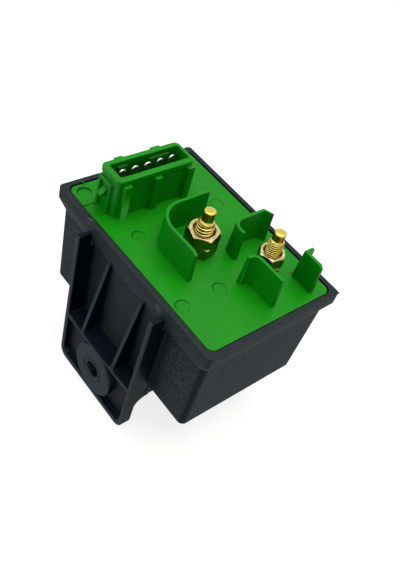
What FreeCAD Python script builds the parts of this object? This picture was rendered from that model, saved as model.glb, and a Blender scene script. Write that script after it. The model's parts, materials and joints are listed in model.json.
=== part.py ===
"""Glow plug relay: ribbed tub with a mounting foot, cover with a five-way socket, two power studs.

Millimetres. The origin is the centre of the bolt hole on the foot's mounting face. +X runs along
the long side from the socket to the studs, +Y from the mounting face into the relay, +Z out of the cover.
"""
import FreeCAD, Part
import math
import os
import re
import Sketcher

# driving sizes and places
SIZES = {
    # rim and tub
    "rim_length": 80.0, "rim_width": 55.6, "rim_side": 4.45, "rim_overhang": 1.8, "rim_slope": 4.4,
    "rim_corner": 1.5,
    "rim_top": 50.2, "rim_ledge": 2.04, "ledge_corner": 2.8,
    "tub_depth": 40.6, "tub_draft": 1.15, "tub_corner": 2.2, "tub_wall": 1.9, "tub_floor": 2.2,
    "tub_edge": 0.9,
    # mounting foot, measured from the bolt hole's axis and the mounting face
    "foot_reach": 5.5, "foot_half_width": 20.35, "foot_draft": 0.92, "foot_rise": 47.2,
    "foot_drop": 12.0,
    "foot_corner": 4.0, "foot_rib": 1.6, "foot_bottom_rib": 2.0, "foot_plate": 2.0, "foot_back": 4.3,
    "web": 1.5,
    "boss_radius": 10.0, "boss_proud": 0.35, "shelf_top": 10.8, "gusset_left": -9.3, "gusset_right": 8.5,
    "heel_top": 3.7, "heel_bend": 4.5, "heel_flat": 13.3, "heel_end": 19.3,
    "bolt_radius": 3.25, "collar_radius": 4.5, "collar_groove": 0.5, "collar_depth": 0.3,
    # cover plate
    "cover_sink": 0.3, "cover_plate": 2.3, "cover_play": 0.3, "skirt_play": 0.2, "skirt_wall": 1.2,
    "skirt_depth": 2.5,
    # ejector marks, from the middle of the rim
    "mark_radius": 2.4, "mark_depth": 0.25, "deep_mark_radius": 2.6, "deep_mark_depth": 0.6,
    "mark_a_x": -9.5, "mark_a_y": -17.0, "mark_b_x": 20.1, "mark_b_y": -22.1, "mark_c_x": 19.9,
    "mark_c_y": -7.3,
    "mark_d_x": -33.7, "mark_d_y": -21.6, "mark_e_x": -10.9, "mark_e_y": 17.1,
    # socket shroud, placed from the rim's end and its middle line
    "socket_inset": 15.7, "socket_y": -5.5, "lip_half_x": 5.3, "lip_half_y": 15.2, "lip_corner": 1.8,
    "lip_height": 2.0,
    "lip_proud": 0.4, "shroud_top": 14.7, "wall_back": 1.8, "wall_front": 2.2, "wall_latch": 2.2,
    "wall_far": 1.1,
    "socket_floor": 1.0, "mouth_corner": 0.6, "front_rib_reach": 1.1, "back_rib_reach": 0.7,
    "key_top": 12.8,
    "back_key": 0.6, "front_key": 0.2, "front_key_y": 2.2, "front_key_width": 17.4,
    "front_rib_width": 2.75, "front_rib_a": -11.7, "front_rib_b": 0.1, "front_rib_c": 13.55,
    "back_rib_a": -8.15, "back_rib_a_width": 3.3, "back_rib_b": 6.2, "back_rib_b_width": 3.8,
    "back_key_a": -7.75, "back_key_a_width": 3.5, "back_key_b": 6.75, "back_key_b_width": 8.1,
    "latch_x": -1.0, "latch_half": 3.2, "latch_post": 0.9, "latch_proud": 0.6, "latch_top": 11.7,
    "latch_bar": 1.2,
    "nose_width": 2.2, "nose_top": 8.5, "nose_reach": 2.2, "nose_drop": 2.0, "nose_lip": 0.7,
    "channel_depth": 0.5,
    # contact blades
    "blade_x": -1.65, "blade_y": 1.1, "blade_pitch": 5.0, "blade_width": 3.0, "blade_gauge": 0.8,
    "blade_top": 13.0,
    "blade_round": 1.45, "blade_point": 0.25, "blade_play": 0.05, "tail_width": 1.2, "tail_past": 1.2,
    # studs and nuts, placed from the middle of the rim, the second one from its end; tops are above the rim
    "supply_x": 3.2, "supply_y": -2.6, "supply_radius": 3.0, "supply_tip": 2.0, "supply_thread": 12.0,
    "supply_top": 16.0, "supply_across": 10.0, "supply_sink": 3.4, "supply_lock_turn": 43.0,
    "supply_nut_turn": 45.0,
    "glow_inset": 19.5, "glow_y": 11.5, "glow_radius": 2.5, "glow_tip": 2.0, "glow_thread": 12.7,
    "glow_top": 16.4, "glow_across": 8.0, "glow_sink": 2.9, "glow_lock_turn": 4.0,
    "glow_nut_turn": 17.0,
    "lock_top": 4.0, "nut_top": 8.2, "nut_bevel": 30.0, "nut_play": 0.05, "stud_play": 0.1,
    "tip_bevel": 0.5,
    "stud_cone": 0.55, "stud_head": 3.6, "thread_sunk": 0.45,
    # insulating guards round the studs
    "guard_top": 11.2, "guard_wall": 1.8, "guard_draft": 1.8, "guard_turn": 1.5,
    "guard_droop": 0.9, "guard_droop_run": 2.0,
    "near_guard_x": 12.2, "near_guard_y": 12.5, "near_guard_long": 22.3, "near_guard_side": 23.2,
    "near_guard_bend": 10.0,
    "mid_guard_x": 14.7, "mid_guard_y": 6.85, "mid_guard_long": 6.85, "mid_guard_side": 14.1,
    "mid_guard_bend": 4.6,
    "mid_guard_tail_x": 4.0, "mid_guard_tail_y": 2.6,
    "right_guard_x": 0.5, "right_guard_y": 7.6, "right_guard_long": 13.6, "right_guard_side": 4.6,
    "right_guard_bend": 3.4, "back_guard_x": 5.95, "back_guard_y": 6.5, "back_guard_long": 8.7,
    "back_guard_side": 4.5, "back_guard_droop": 1.5,
    # relay inside: x from the middle of the rim, depths below its top face
    "bar_gauge": 2.0, "bar_inset": 3.1, "supply_pad": 6.0, "glow_pad": 5.0, "bar_drop": 7.0,
    "bar_slant": 5.0, "bar_bend": 1.0,
    "tab_width": 4.0, "tab_inset": 3.0,
    "hinge_x": -4.0, "hinge_depth": 13.6, "close_angle": 2.0, "pole_rest": 0.15, "contact_rest": 0.1,
    "armature_gauge": 1.5, "armature_short": 7.0, "armature_half": 8.0, "tail_end": -10.6,
    "tail_half": 3.0,
    "yoke_gauge": 2.0, "yoke_half": 9.0, "yoke_lift": 2.2, "yoke_end": 27.0, "yoke_bend": 2.5,
    "hook_drop": 12.4, "hook_gauge": 1.5, "hook_end": -11.0,
    "core_x": 10.0, "core_radius": 4.0, "pole_radius": 6.5, "pole_gauge": 1.5, "spigot_radius": 2.5,
    "core_play": 0.1,
    "bobbin_wall": 0.9, "flange_radius": 10.0, "flange_gauge": 1.2, "winding_depth": 4.2,
    "winding_play": 0.05,
    "contact_inset": 7.3, "contact_y": 6.0, "contact_radius": 1.8, "contact_height": 1.0,
    "bridge_gauge": 1.2, "bridge_half_x": 3.0, "bridge_half_y": 8.5, "foot_half": 4.0,
    "foot_overlap": 3.0,
    "carrier_overlap": 8.0, "carrier_height": 2.5, "carrier_half": 5.0, "carrier_lip": 1.2,
    "carrier_lip_drop": 0.9,
    "rivet_inset": 4.0, "rivet_y": 3.0, "rivet_radius": 1.0, "rivet_head": 1.7, "rivet_dome": 0.6,
    "spring_x": -9.0, "spring_coil": 1.6, "spring_wire": 0.3, "spring_turns": 3.0, "spring_play": 0.15,
    "yoke_screw_x": 23.5, "yoke_screw_y": 5.5, "screw_radius": 1.0, "screw_head": 1.9,
    "screw_head_height": 1.3,
    "pillar_radius": 3.2, "rest_pillar_x": -1.5, "screw_play": 0.05, "screw_short": 0.3,
    # timing board, and its parts from the middle of the board
    "board_depth": 9.0, "board_gauge": 1.6, "board_clear": 1.3, "board_half_x": 13.0,
    "board_end_clear": 4.1,
    "post_inset_x": 2.0, "post_inset_y": 2.5, "post_radius": 2.4,
    "board_screw": 0.9, "board_screw_reach": 4.5,
    "big_can_x": -8.0, "big_can_inset": 9.0, "big_can_radius": 4.0, "big_can_height": 9.0,
    "small_can_x": -8.5, "small_can_y": -1.0, "small_can_radius": 3.1, "small_can_height": 7.0,
    "chip_x": 4.0, "chip_y": -9.0, "chip_length": 8.6, "chip_width": 3.9, "chip_height": 1.7,
    "chip_leg": 0.5, "chip_leg_reach": 1.0, "chip_pitch": 1.27,
    "driver_x": 4.5, "driver_y": 7.0, "driver_length": 6.5, "driver_width": 6.0, "driver_height": 2.3,
    "diode_x": 5.5, "diode_y": -1.0, "diode_radius": 1.3, "diode_length": 4.6,
    "resistor_x": -9.0, "resistor_inset": 8.0, "resistor_step": 2.6, "resistor_length": 3.2,
    "resistor_width": 1.6, "resistor_height": 0.6,
    "lead_radius": 0.4, "lead_bend": 1.5, "lead_side": 8.2, "lead_out": 11.8, "lead_inset": 4.6,
}

os.makedirs("parts", exist_ok=True)
doc = FreeCAD.newDocument("GlowPlugRelay")
sheet = doc.addObject("Spreadsheet::Sheet", "Sizes")
nodes = []
Vector = FreeCAD.Vector
for row, (name, value) in enumerate(SIZES.items(), 1):
    sheet.set("A%d" % row, name)
    sheet.set("B%d" % row, str(value))
    sheet.setAlias("B%d" % row, name)
doc.recompute()

# places worked out from the sizes, as expressions
MIDDLE_Y = "(foot_reach + rim_width / 2)"
RIM_UNDER = "(rim_top - rim_side - rim_slope)"
TUB_BOTTOM = "(rim_top - tub_depth)"
TUB_HALF_X = "(rim_length / 2 - rim_overhang)"
TUB_HALF_Y = "(rim_width / 2 - rim_overhang)"
TUB_TAPER = "((tub_depth - rim_side - rim_slope) * tan(tub_draft))"
FLOOR_DEPTH = "(tub_depth - tub_floor)"
PLATE_UNDER = "(cover_sink + cover_plate)"
COVER_TOP = "(rim_top - cover_sink)"
CAVITY_HALF_X = f"({TUB_HALF_X} - tub_wall)"
CAVITY_HALF_Y = f"({TUB_HALF_Y} - tub_wall)"
SOCKET_X = "(socket_inset - rim_length / 2)"
SOCKET_Y = f"({MIDDLE_Y} + socket_y)"
SUPPLY_Y = f"({MIDDLE_Y} + supply_y)"
GLOW_X = "(rim_length / 2 - glow_inset)"
GLOW_Y = f"({MIDDLE_Y} + glow_y)"
FOOT_TAPER = "((foot_rise + foot_drop) * tan(foot_draft))"
POLE_DEPTH = "(hinge_depth + (core_x + pole_radius - hinge_x) * sin(close_angle) + pole_rest)"
YOKE_DEPTH = f"({FLOOR_DEPTH} - yoke_lift)"
YOKE_SEAT = f"({YOKE_DEPTH} - yoke_gauge)"
HOOK_DEPTH = "(hinge_depth + hook_drop)"
COIL_HEIGHT = f"({YOKE_SEAT} - pole_gauge - {POLE_DEPTH})"
ARMATURE_TOP = "(hinge_depth - armature_gauge)"
MOVING_TIP = f"({ARMATURE_TOP} + bridge_gauge + contact_height)"
CONTACT_X = f"({CAVITY_HALF_X} - contact_inset)"
ARMATURE_END = f"({CONTACT_X} - armature_short)"
CONTACT_GAP = f"(({CONTACT_X} + contact_radius - hinge_x) * sin(close_angle) + contact_rest)"
FIXED_TIP = f"({MOVING_TIP} + {CONTACT_GAP})"
FOOT_DEPTH = f"({FIXED_TIP} + contact_height)"
BOARD_UNDER = "(board_depth + board_gauge)"
BOARD_X = f"(board_clear + board_half_x - {CAVITY_HALF_X})"
BOARD_HALF_Y = f"({CAVITY_HALF_Y} - board_end_clear)"
TAB_END = f"({BOARD_X} + board_half_x - tab_inset)"


def bound(expression):
    """The expression with every alias read from the sheet."""
    return re.sub(r"[a-z]\w*", lambda word: ("Sizes." if word[0] in SIZES else "") + word[0], expression)


def size(expression):
    """The expression's value now."""
    return float(sheet.evalExpression(str(expression)))


def bind(item, name, expression):
    """Ties a property to an expression of the sheet's sizes."""
    item.setExpression(name, bound(str(expression)))


def below(depth):
    """Height of a place that lies `depth` under the rim's top face."""
    return f"(rim_top - ({depth}))"


def make_body(name):
    """Empty body that becomes the node of that name."""
    body = doc.addObject("PartDesign::Body", name)
    nodes.append(body)
    return body


def place(item, x, y, z, turn=0):
    """Puts the item at a place, turned about the vertical."""
    item.Placement = FreeCAD.Placement(Vector(size(x), size(y), size(z)), FreeCAD.Rotation(turn, 0, 0))
    for axis, value in zip("xyz", (x, y, z)):
        bind(item, "Placement.Base." + axis, value)


def sketch(body, name, plane, offset="0"):
    """Sketch parallel to one of the body's planes: XY at a height, XZ at a y, YZ at an x."""
    item = body.newObject("Sketcher::SketchObject", name)
    base = [feature for feature in body.Origin.OriginFeatures if feature.Role == plane + "_Plane"][0]
    item.AttachmentSupport = (base, [""])
    item.MapMode = "FlatFace"
    bind(item, "AttachmentOffset.Base.z", f"-({offset})" if plane == "XZ" else offset)
    return item


def pin(item, geometry, vertex, x, y):
    """Holds a sketch point at its coordinates."""
    for kind, value in (("DistanceX", x), ("DistanceY", y)):
        row = item.addConstraint(Sketcher.Constraint(kind, -1, 1, geometry, vertex, size(value)))
        bind(item, "Constraints[%d]" % row, value)


def outline(item, *corners):
    """Closed outline. A corner is (x, y), or (x, y, radius) where it is rounded."""
    count = len(corners)
    spots = [Vector(size(corner[0]), size(corner[1]), 0) for corner in corners]
    first = item.GeometryCount
    reaches = []
    for index, corner in enumerate(corners):
        back = (spots[index - 1] - spots[index]).normalize()
        ahead = (spots[(index + 1) % count] - spots[index]).normalize()
        reach = size(corner[2]) / math.tan(back.getAngle(ahead) / 2) if len(corner) == 3 else 0
        reaches.append((back, ahead, reach))
    for index in range(count):
        start = spots[index] + reaches[index][1] * reaches[index][2]
        end = (index + 1) % count
        item.addGeometry(Part.LineSegment(start, spots[end] + reaches[end][0] * reaches[end][2]))
    for index, corner in enumerate(corners):
        arriving = first + (index - 1) % count
        leaving = first + index
        if len(corner) == 2:
            item.addConstraint(Sketcher.Constraint("Coincident", arriving, 2, leaving, 1))
            pin(item, leaving, 1, corner[0], corner[1])
        else:
            round_corner(item, spots[index], reaches[index], corner, arriving, leaving)


def round_corner(item, spot, reach, corner, arriving, leaving):
    """Arc of the corner's radius between two lines that aim at the corner."""
    back, ahead, run = reach
    left = back.cross(ahead).z < 0
    radius = size(corner[2])
    centre = spot + (back + ahead).normalize() * math.hypot(run, radius)
    first, last = spot + back * run, spot + ahead * run
    if not left:
        first, last = last, first
    start = math.atan2(first.y - centre.y, first.x - centre.x)
    end = math.atan2(last.y - centre.y, last.x - centre.x)
    circle = Part.Circle(centre, Vector(0, 0, 1), radius)
    arc = item.addGeometry(Part.ArcOfCircle(circle, start, end + (2 * math.pi if end < start else 0)))
    aim = item.addGeometry(Part.Point(spot), True)
    pin(item, aim, 1, corner[0], corner[1])
    item.addConstraint(Sketcher.Constraint("PointOnObject", aim, 1, arriving))
    item.addConstraint(Sketcher.Constraint("PointOnObject", aim, 1, leaving))
    item.addConstraint(Sketcher.Constraint("Tangent", arriving, 2, arc, 1 if left else 2))
    item.addConstraint(Sketcher.Constraint("Tangent", leaving, 1, arc, 2 if left else 1))
    row = item.addConstraint(Sketcher.Constraint("Radius", arc, radius))
    bind(item, "Constraints[%d]" % row, corner[2])


def rectangle(item, x, y, half_x, half_y, *corner):
    """Rectangle round its centre, with rounded corners if a radius is given."""
    ends = ((-1, -1), (1, -1), (1, 1), (-1, 1))
    outline(item, *[(f"{x} + {i} * ({half_x})", f"{y} + {j} * ({half_y})", *corner) for i, j in ends])


def circle(item, x, y, radius):
    """Full circle."""
    ring = item.addGeometry(Part.Circle(Vector(size(x), size(y), 0), Vector(0, 0, 1), size(radius)))
    pin(item, ring, 3, x, y)
    row = item.addConstraint(Sketcher.Constraint("Radius", ring, size(radius)))
    bind(item, "Constraints[%d]" % row, radius)


def extrude(body, kind, name, profile, length, towards):
    """Pad or Pocket of a sketch towards +1 or -1 along the plane's axis."""
    feature = body.newObject("PartDesign::" + kind, name)
    feature.Profile = profile
    bind(feature, "Length", length)
    along = -1 if "XZ" in profile.AttachmentSupport[0][0].Role else 1
    feature.Reversed = (towards * along < 0) if kind == "Pad" else (towards * along > 0)
    return feature


def pad(body, name, profile, length, towards=1):
    """Adds material from the sketch towards +1 or -1."""
    return extrude(body, "Pad", name, profile, length, towards)


def pocket(body, name, profile, length, towards=1):
    """Cuts from the sketch towards +1 or -1."""
    return extrude(body, "Pocket", name, profile, length, towards)


def revolve(body, kind, name, profile):
    """Full turn of a sketch about its vertical axis."""
    feature = body.newObject("PartDesign::" + kind, name)
    feature.Profile = profile
    feature.ReferenceAxis = (profile, ["V_Axis"])
    feature.Angle = 360
    return feature


def loft(body, kind, name, first, last):
    """Straight loft between two sketches."""
    feature = body.newObject("PartDesign::" + kind, name)
    feature.Profile = first
    feature.Sections = [last]
    feature.Ruled = True
    return feature


def dress(body, kind, name, value, chosen):
    """Fillet or Chamfer on the edges that `chosen` picks by their middle and direction."""
    doc.recompute()
    base = body.Tip
    picked = []
    for number, edge in enumerate(base.Shape.Edges, 1):
        middle = edge.valueAt((edge.FirstParameter + edge.LastParameter) / 2)
        along = edge.tangentAt((edge.FirstParameter + edge.LastParameter) / 2)
        if chosen(middle, along):
            picked.append("Edge%d" % number)
    feature = body.newObject("PartDesign::" + kind, name)
    feature.Base = (base, picked)
    bind(feature, "Radius" if kind == "Fillet" else "Size", value)
    return feature


def near(value, expression, slack=0.02):
    """Whether a coordinate lies at the expression's value."""
    return abs(value - size(expression)) < slack


def make_tub(body):
    """Drafted tub under a rim whose underside slopes out to its side face."""
    top = sketch(body, "tub_top", "XY", RIM_UNDER)
    rectangle(top, 0, MIDDLE_Y, TUB_HALF_X, TUB_HALF_Y, "tub_corner")
    bottom = sketch(body, "tub_bottom", "XY", TUB_BOTTOM)
    rectangle(bottom, 0, MIDDLE_Y, f"{TUB_HALF_X} - {TUB_TAPER}", f"{TUB_HALF_Y} - {TUB_TAPER}",
              "tub_corner")
    loft(body, "AdditiveLoft", "tub_walls", top, bottom)
    dress(body, "Fillet", "tub_bottom_edges", "tub_edge", lambda middle, along: near(middle.z, TUB_BOTTOM))
    neck = sketch(body, "rim_neck", "XY", RIM_UNDER)
    rectangle(neck, 0, MIDDLE_Y, TUB_HALF_X, TUB_HALF_Y, "tub_corner")
    wide = sketch(body, "rim_lower", "XY", "rim_top - rim_side")
    rectangle(wide, 0, MIDDLE_Y, "rim_length / 2", "rim_width / 2", "rim_corner")
    loft(body, "AdditiveLoft", "rim_slope_faces", neck, wide)
    rim = sketch(body, "rim_outline", "XY", "rim_top")
    rectangle(rim, 0, MIDDLE_Y, "rim_length / 2", "rim_width / 2", "rim_corner")
    pad(body, "rim", rim, "rim_side", -1)


def make_foot(body):
    """Mounting foot: side ribs in one U with the bottom rib, plate, shelf, gussets, boss and heel ribs."""
    low_half = f"(foot_half_width - {FOOT_TAPER})"
    frame = sketch(body, "foot_ribs_outline", "XZ", "boss_proud")
    outline(frame,
            ("-foot_half_width", "foot_rise"),
            (f"-{low_half}", "-foot_drop", "foot_corner"),
            (low_half, "-foot_drop", "foot_corner"),
            ("foot_half_width", "foot_rise"),
            ("foot_half_width - foot_rib", "foot_rise"),
            (f"{low_half} - foot_rib", "foot_bottom_rib - foot_drop", "foot_corner - foot_rib"),
            (f"foot_rib - {low_half}", "foot_bottom_rib - foot_drop", "foot_corner - foot_rib"),
            ("foot_rib - foot_half_width", "foot_rise"))
    pad(body, "foot_ribs", frame, "foot_reach + rim_overhang + tub_wall - boss_proud")
    back = sketch(body, "heel_clearance", "YZ", "-foot_half_width")
    outline(back,
            ("foot_back", "-2 * foot_drop"),
            ("foot_back", "heel_top", "heel_bend"),
            ("heel_end", "heel_top"),
            ("heel_end", "-2 * foot_drop"))
    pocket(body, "heel_cut", back, "2 * foot_half_width")
    plate = sketch(body, "foot_plate_outline", "XZ", "foot_back")
    outline(plate,
            (f"foot_rib / 2 - {low_half}", "shelf_top - web / 2"),
            (f"foot_rib / 2 - {low_half}", "foot_rib / 2 - foot_drop", "foot_corner - foot_rib / 2"),
            (f"{low_half} - foot_rib / 2", "foot_rib / 2 - foot_drop", "foot_corner - foot_rib / 2"),
            (f"{low_half} - foot_rib / 2", "shelf_top - web / 2"))
    pad(body, "foot_back_plate", plate, "foot_plate", -1)
    shelf = sketch(body, "shelf_outline", "XY", "shelf_top")
    half = f"({low_half} - foot_rib / 2)"
    outline(shelf,
            (f"-{half}", "boss_proud"),
            (half, "boss_proud"),
            (half, "heel_flat"),
            (f"-{half}", "heel_flat"))
    pad(body, "foot_shelf", shelf, "web", -1)
    for name, x in (("left", "gusset_left"), ("right", "gusset_right")):
        gusset = sketch(body, name + "_gusset_outline", "YZ", f"{x} - web / 2")
        outline(gusset,
                ("boss_proud", "shelf_top - web / 2"),
                ("foot_reach + rim_overhang + tub_wall", "shelf_top - web / 2"),
                ("foot_reach + rim_overhang + tub_wall", RIM_UNDER),
                ("foot_reach + rim_overhang / 2", f"{RIM_UNDER} + rim_slope / 2"))
        pad(body, name + "_gusset", gusset, "web")
    sides = {"left_heel": f"foot_rib / 2 - {low_half}", "right_heel": f"{low_half} - foot_rib / 2",
             "inner_left_heel": "gusset_left", "inner_right_heel": "gusset_right"}
    for name, x in sides.items():
        heel = sketch(body, name + "_outline", "YZ", f"{x} - web / 2")
        outline(heel,
                ("foot_back - foot_plate / 2", f"{TUB_BOTTOM} + tub_floor / 2"),
                ("foot_back - foot_plate / 2", "heel_top - heel_bend - web"),
                ("foot_back", "heel_top - heel_bend - web"),
                ("foot_back", "heel_top", "heel_bend"),
                ("heel_flat", "heel_top"),
                ("heel_end", TUB_BOTTOM),
                ("heel_end", f"{TUB_BOTTOM} + tub_floor / 2"))
        pad(body, name, heel, "web")
    boss = sketch(body, "boss_outline", "XZ", "0")
    circle(boss, 0, 0, "boss_radius")
    pad(body, "boss", boss, "foot_back - foot_plate / 2")
    groove = sketch(body, "collar_groove_outline", "XZ", "0")
    circle(groove, 0, 0, "collar_radius")
    circle(groove, 0, 0, "collar_radius + collar_groove")
    pocket(body, "collar_groove_cut", groove, "collar_depth")
    hole = sketch(body, "bolt_hole_outline", "XZ", "0")
    circle(hole, 0, 0, "bolt_radius")
    pocket(body, "bolt_hole", hole, "foot_back")


def hollow_tub(body):
    """Ledge for the cover, drafted hollow, and the floor's pillars."""
    ledge = sketch(body, "ledge_outline", "XY", "rim_top")
    rectangle(ledge, 0, MIDDLE_Y, "rim_length / 2 - rim_ledge", "rim_width / 2 - rim_ledge", "ledge_corner")
    pocket(body, "cover_ledge", ledge, PLATE_UNDER, -1)
    mouth = sketch(body, "hollow_mouth", "XY", below(PLATE_UNDER))
    rectangle(mouth, 0, MIDDLE_Y, CAVITY_HALF_X, CAVITY_HALF_Y, "tub_corner - tub_wall")
    floor = sketch(body, "hollow_floor", "XY", below(FLOOR_DEPTH))
    rectangle(floor, 0, MIDDLE_Y, f"{CAVITY_HALF_X} - {TUB_TAPER}", f"{CAVITY_HALF_Y} - {TUB_TAPER}",
              "tub_corner - tub_wall")
    loft(body, "SubtractiveLoft", "hollow", mouth, floor)
    pillars = sketch(body, "pillar_outline", "XY", below(FLOOR_DEPTH))
    circle(pillars, "yoke_screw_x", f"{MIDDLE_Y} - yoke_screw_y", "pillar_radius")
    circle(pillars, "yoke_screw_x", f"{MIDDLE_Y} + yoke_screw_y", "pillar_radius")
    circle(pillars, "rest_pillar_x", MIDDLE_Y, "pillar_radius")
    pad(body, "pillars", pillars, "yoke_lift")
    pilots = sketch(body, "pilot_outline", "XY", below(YOKE_DEPTH))
    circle(pilots, "yoke_screw_x", f"{MIDDLE_Y} - yoke_screw_y", "screw_radius + screw_play")
    circle(pilots, "yoke_screw_x", f"{MIDDLE_Y} + yoke_screw_y", "screw_radius + screw_play")
    pocket(body, "pilot_holes", pilots, "yoke_lift", -1)


def make_housing():
    """Black moulding: tub, rim and mounting foot."""
    body = make_body("housing")
    make_tub(body)
    make_foot(body)
    hollow_tub(body)


def board_posts():
    """Centres of the four posts that carry the board."""
    return [(f"{BOARD_X} + {i} * (board_half_x - post_inset_x)",
             f"{MIDDLE_Y} + {j} * ({BOARD_HALF_Y} - post_inset_y)") for i in (-1, 1) for j in (-1, 1)]


def blade_places():
    """Centres of the five blades."""
    return [f"{SOCKET_Y} + blade_y + {step} * blade_pitch" for step in range(-2, 3)]


def make_plate(body):
    """Cover plate in the rim's ledge, with a locating skirt and the board's posts under it."""
    plate = sketch(body, "plate_outline", "XY", COVER_TOP)
    rectangle(plate, 0, MIDDLE_Y, "rim_length / 2 - rim_ledge - cover_play",
              "rim_width / 2 - rim_ledge - cover_play", "ledge_corner - cover_play")
    pad(body, "plate", plate, "cover_plate", -1)
    skirt = sketch(body, "skirt_outline", "XY", below(PLATE_UNDER))
    rectangle(skirt, 0, MIDDLE_Y, f"{CAVITY_HALF_X} - skirt_play", f"{CAVITY_HALF_Y} - skirt_play",
              "tub_corner - tub_wall")
    rectangle(skirt, 0, MIDDLE_Y, f"{CAVITY_HALF_X} - skirt_play - skirt_wall",
              f"{CAVITY_HALF_Y} - skirt_play - skirt_wall")
    pad(body, "skirt", skirt, "skirt_depth", -1)
    posts = sketch(body, "post_outline", "XY", below(PLATE_UNDER))
    for x, y in board_posts():
        circle(posts, x, y, "post_radius")
    pad(body, "posts", posts, f"board_depth - {PLATE_UNDER}", -1)
    pilots = sketch(body, "post_pilot_outline", "XY", below("board_depth"))
    for x, y in board_posts():
        circle(pilots, x, y, "board_screw + screw_play")
    pocket(body, "post_pilots", pilots, "board_screw_reach + screw_short")


def make_shroud(body):
    """Socket shroud: walls, proud lip, outer ribs, mouth and the keys inside it."""
    walls = sketch(body, "shroud_outline", "XY", COVER_TOP)
    rectangle(walls, SOCKET_X, SOCKET_Y, "lip_half_x - lip_proud", "lip_half_y - lip_proud",
              "lip_corner - lip_proud")
    pad(body, "shroud", walls, "shroud_top + cover_sink")
    lip = sketch(body, "lip_outline", "XY", "rim_top + shroud_top")
    rectangle(lip, SOCKET_X, SOCKET_Y, "lip_half_x", "lip_half_y", "lip_corner")
    pad(body, "lip", lip, "lip_height", -1)
    ribs = sketch(body, "front_rib_outline", "XY", COVER_TOP)
    for y, width in (("front_rib_a", "front_rib_width"), ("front_rib_b", "front_rib_width"),
                     ("front_rib_c", "front_rib_width")):
        rectangle(ribs, f"{SOCKET_X} + lip_half_x + front_rib_reach - wall_front",
                  f"{SOCKET_Y} + {y}", "wall_front", f"{width} / 2")
    pad(body, "front_ribs", ribs, "shroud_top + cover_sink - lip_height")
    back = sketch(body, "back_rib_outline", "XY", COVER_TOP)
    for y, width in (("back_rib_a", "back_rib_a_width"), ("back_rib_b", "back_rib_b_width")):
        rectangle(back, f"{SOCKET_X} - lip_half_x - back_rib_reach + wall_back / 2",
                  f"{SOCKET_Y} + {y}", "wall_back / 2", f"{width} / 2")
    pad(body, "back_ribs", back, "shroud_top + cover_sink")
    mouth = sketch(body, "mouth_outline", "XY", "rim_top + shroud_top")
    west, east = f"({SOCKET_X} - lip_half_x + wall_back)", f"({SOCKET_X} + lip_half_x - wall_front)"
    south, north = f"({SOCKET_Y} - lip_half_y + wall_latch)", f"({SOCKET_Y} + lip_half_y - wall_far)"
    outline(mouth, *[(x, y, "mouth_corner") for x, y in
                     ((west, south), (east, south), (east, north), (west, north))])
    pocket(body, "mouth", mouth, "shroud_top - socket_floor", -1)
    keys = sketch(body, "key_outline", "XY", "rim_top + socket_floor")
    for y, width in (("back_key_a", "back_key_a_width"), ("back_key_b", "back_key_b_width")):
        rectangle(keys, west, f"{SOCKET_Y} + {y}", "back_key", f"{width} / 2")
    rectangle(keys, east, f"{SOCKET_Y} + front_key_y", "front_key", "front_key_width / 2")
    pad(body, "keys", keys, "key_top - socket_floor")


def make_latch(body):
    """Latch at the shroud's end: a frame of two posts and a bar round a wedge nose, over a channel."""
    centre = f"({SOCKET_X} + latch_x)"
    face = f"({SOCKET_Y} - lip_half_y)"
    frame = sketch(body, "latch_frame_outline", "XZ", f"{face} - latch_proud")
    outline(frame,
            (f"{centre} - latch_half", COVER_TOP),
            (f"{centre} - latch_half", "rim_top + latch_top"),
            (f"{centre} + latch_half", "rim_top + latch_top"),
            (f"{centre} + latch_half", COVER_TOP),
            (f"{centre} + latch_half - latch_post", COVER_TOP),
            (f"{centre} + latch_half - latch_post", "rim_top + latch_top - latch_bar"),
            (f"{centre} - latch_half + latch_post", "rim_top + latch_top - latch_bar"),
            (f"{centre} - latch_half + latch_post", COVER_TOP))
    pad(body, "latch_frame", frame, "latch_proud + lip_proud + wall_latch / 3")
    nose = sketch(body, "nose_outline", "YZ", f"{centre} - nose_width / 2")
    outline(nose,
            (f"{face} + lip_proud + wall_latch / 3", "rim_top + nose_top"),
            (face, "rim_top + nose_top"),
            (f"{face} - nose_reach", "rim_top + nose_top - nose_drop"),
            (f"{face} - nose_reach", "rim_top + nose_top - nose_drop - nose_lip"),
            (f"{face} + lip_proud + wall_latch / 3", "rim_top + nose_top - nose_drop - nose_lip"))
    pad(body, "nose", nose, "nose_width")
    channel = sketch(body, "channel_outline", "XY", COVER_TOP)
    edge = f"({MIDDLE_Y} - rim_width / 2)"
    outline(channel,
            (f"{centre} - latch_half", edge),
            (f"{centre} + latch_half", edge),
            (f"{centre} + latch_half", f"{face} - latch_proud"),
            (f"{centre} - latch_half", f"{face} - latch_proud"))
    pocket(body, "channel", channel, "channel_depth", -1)


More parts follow.
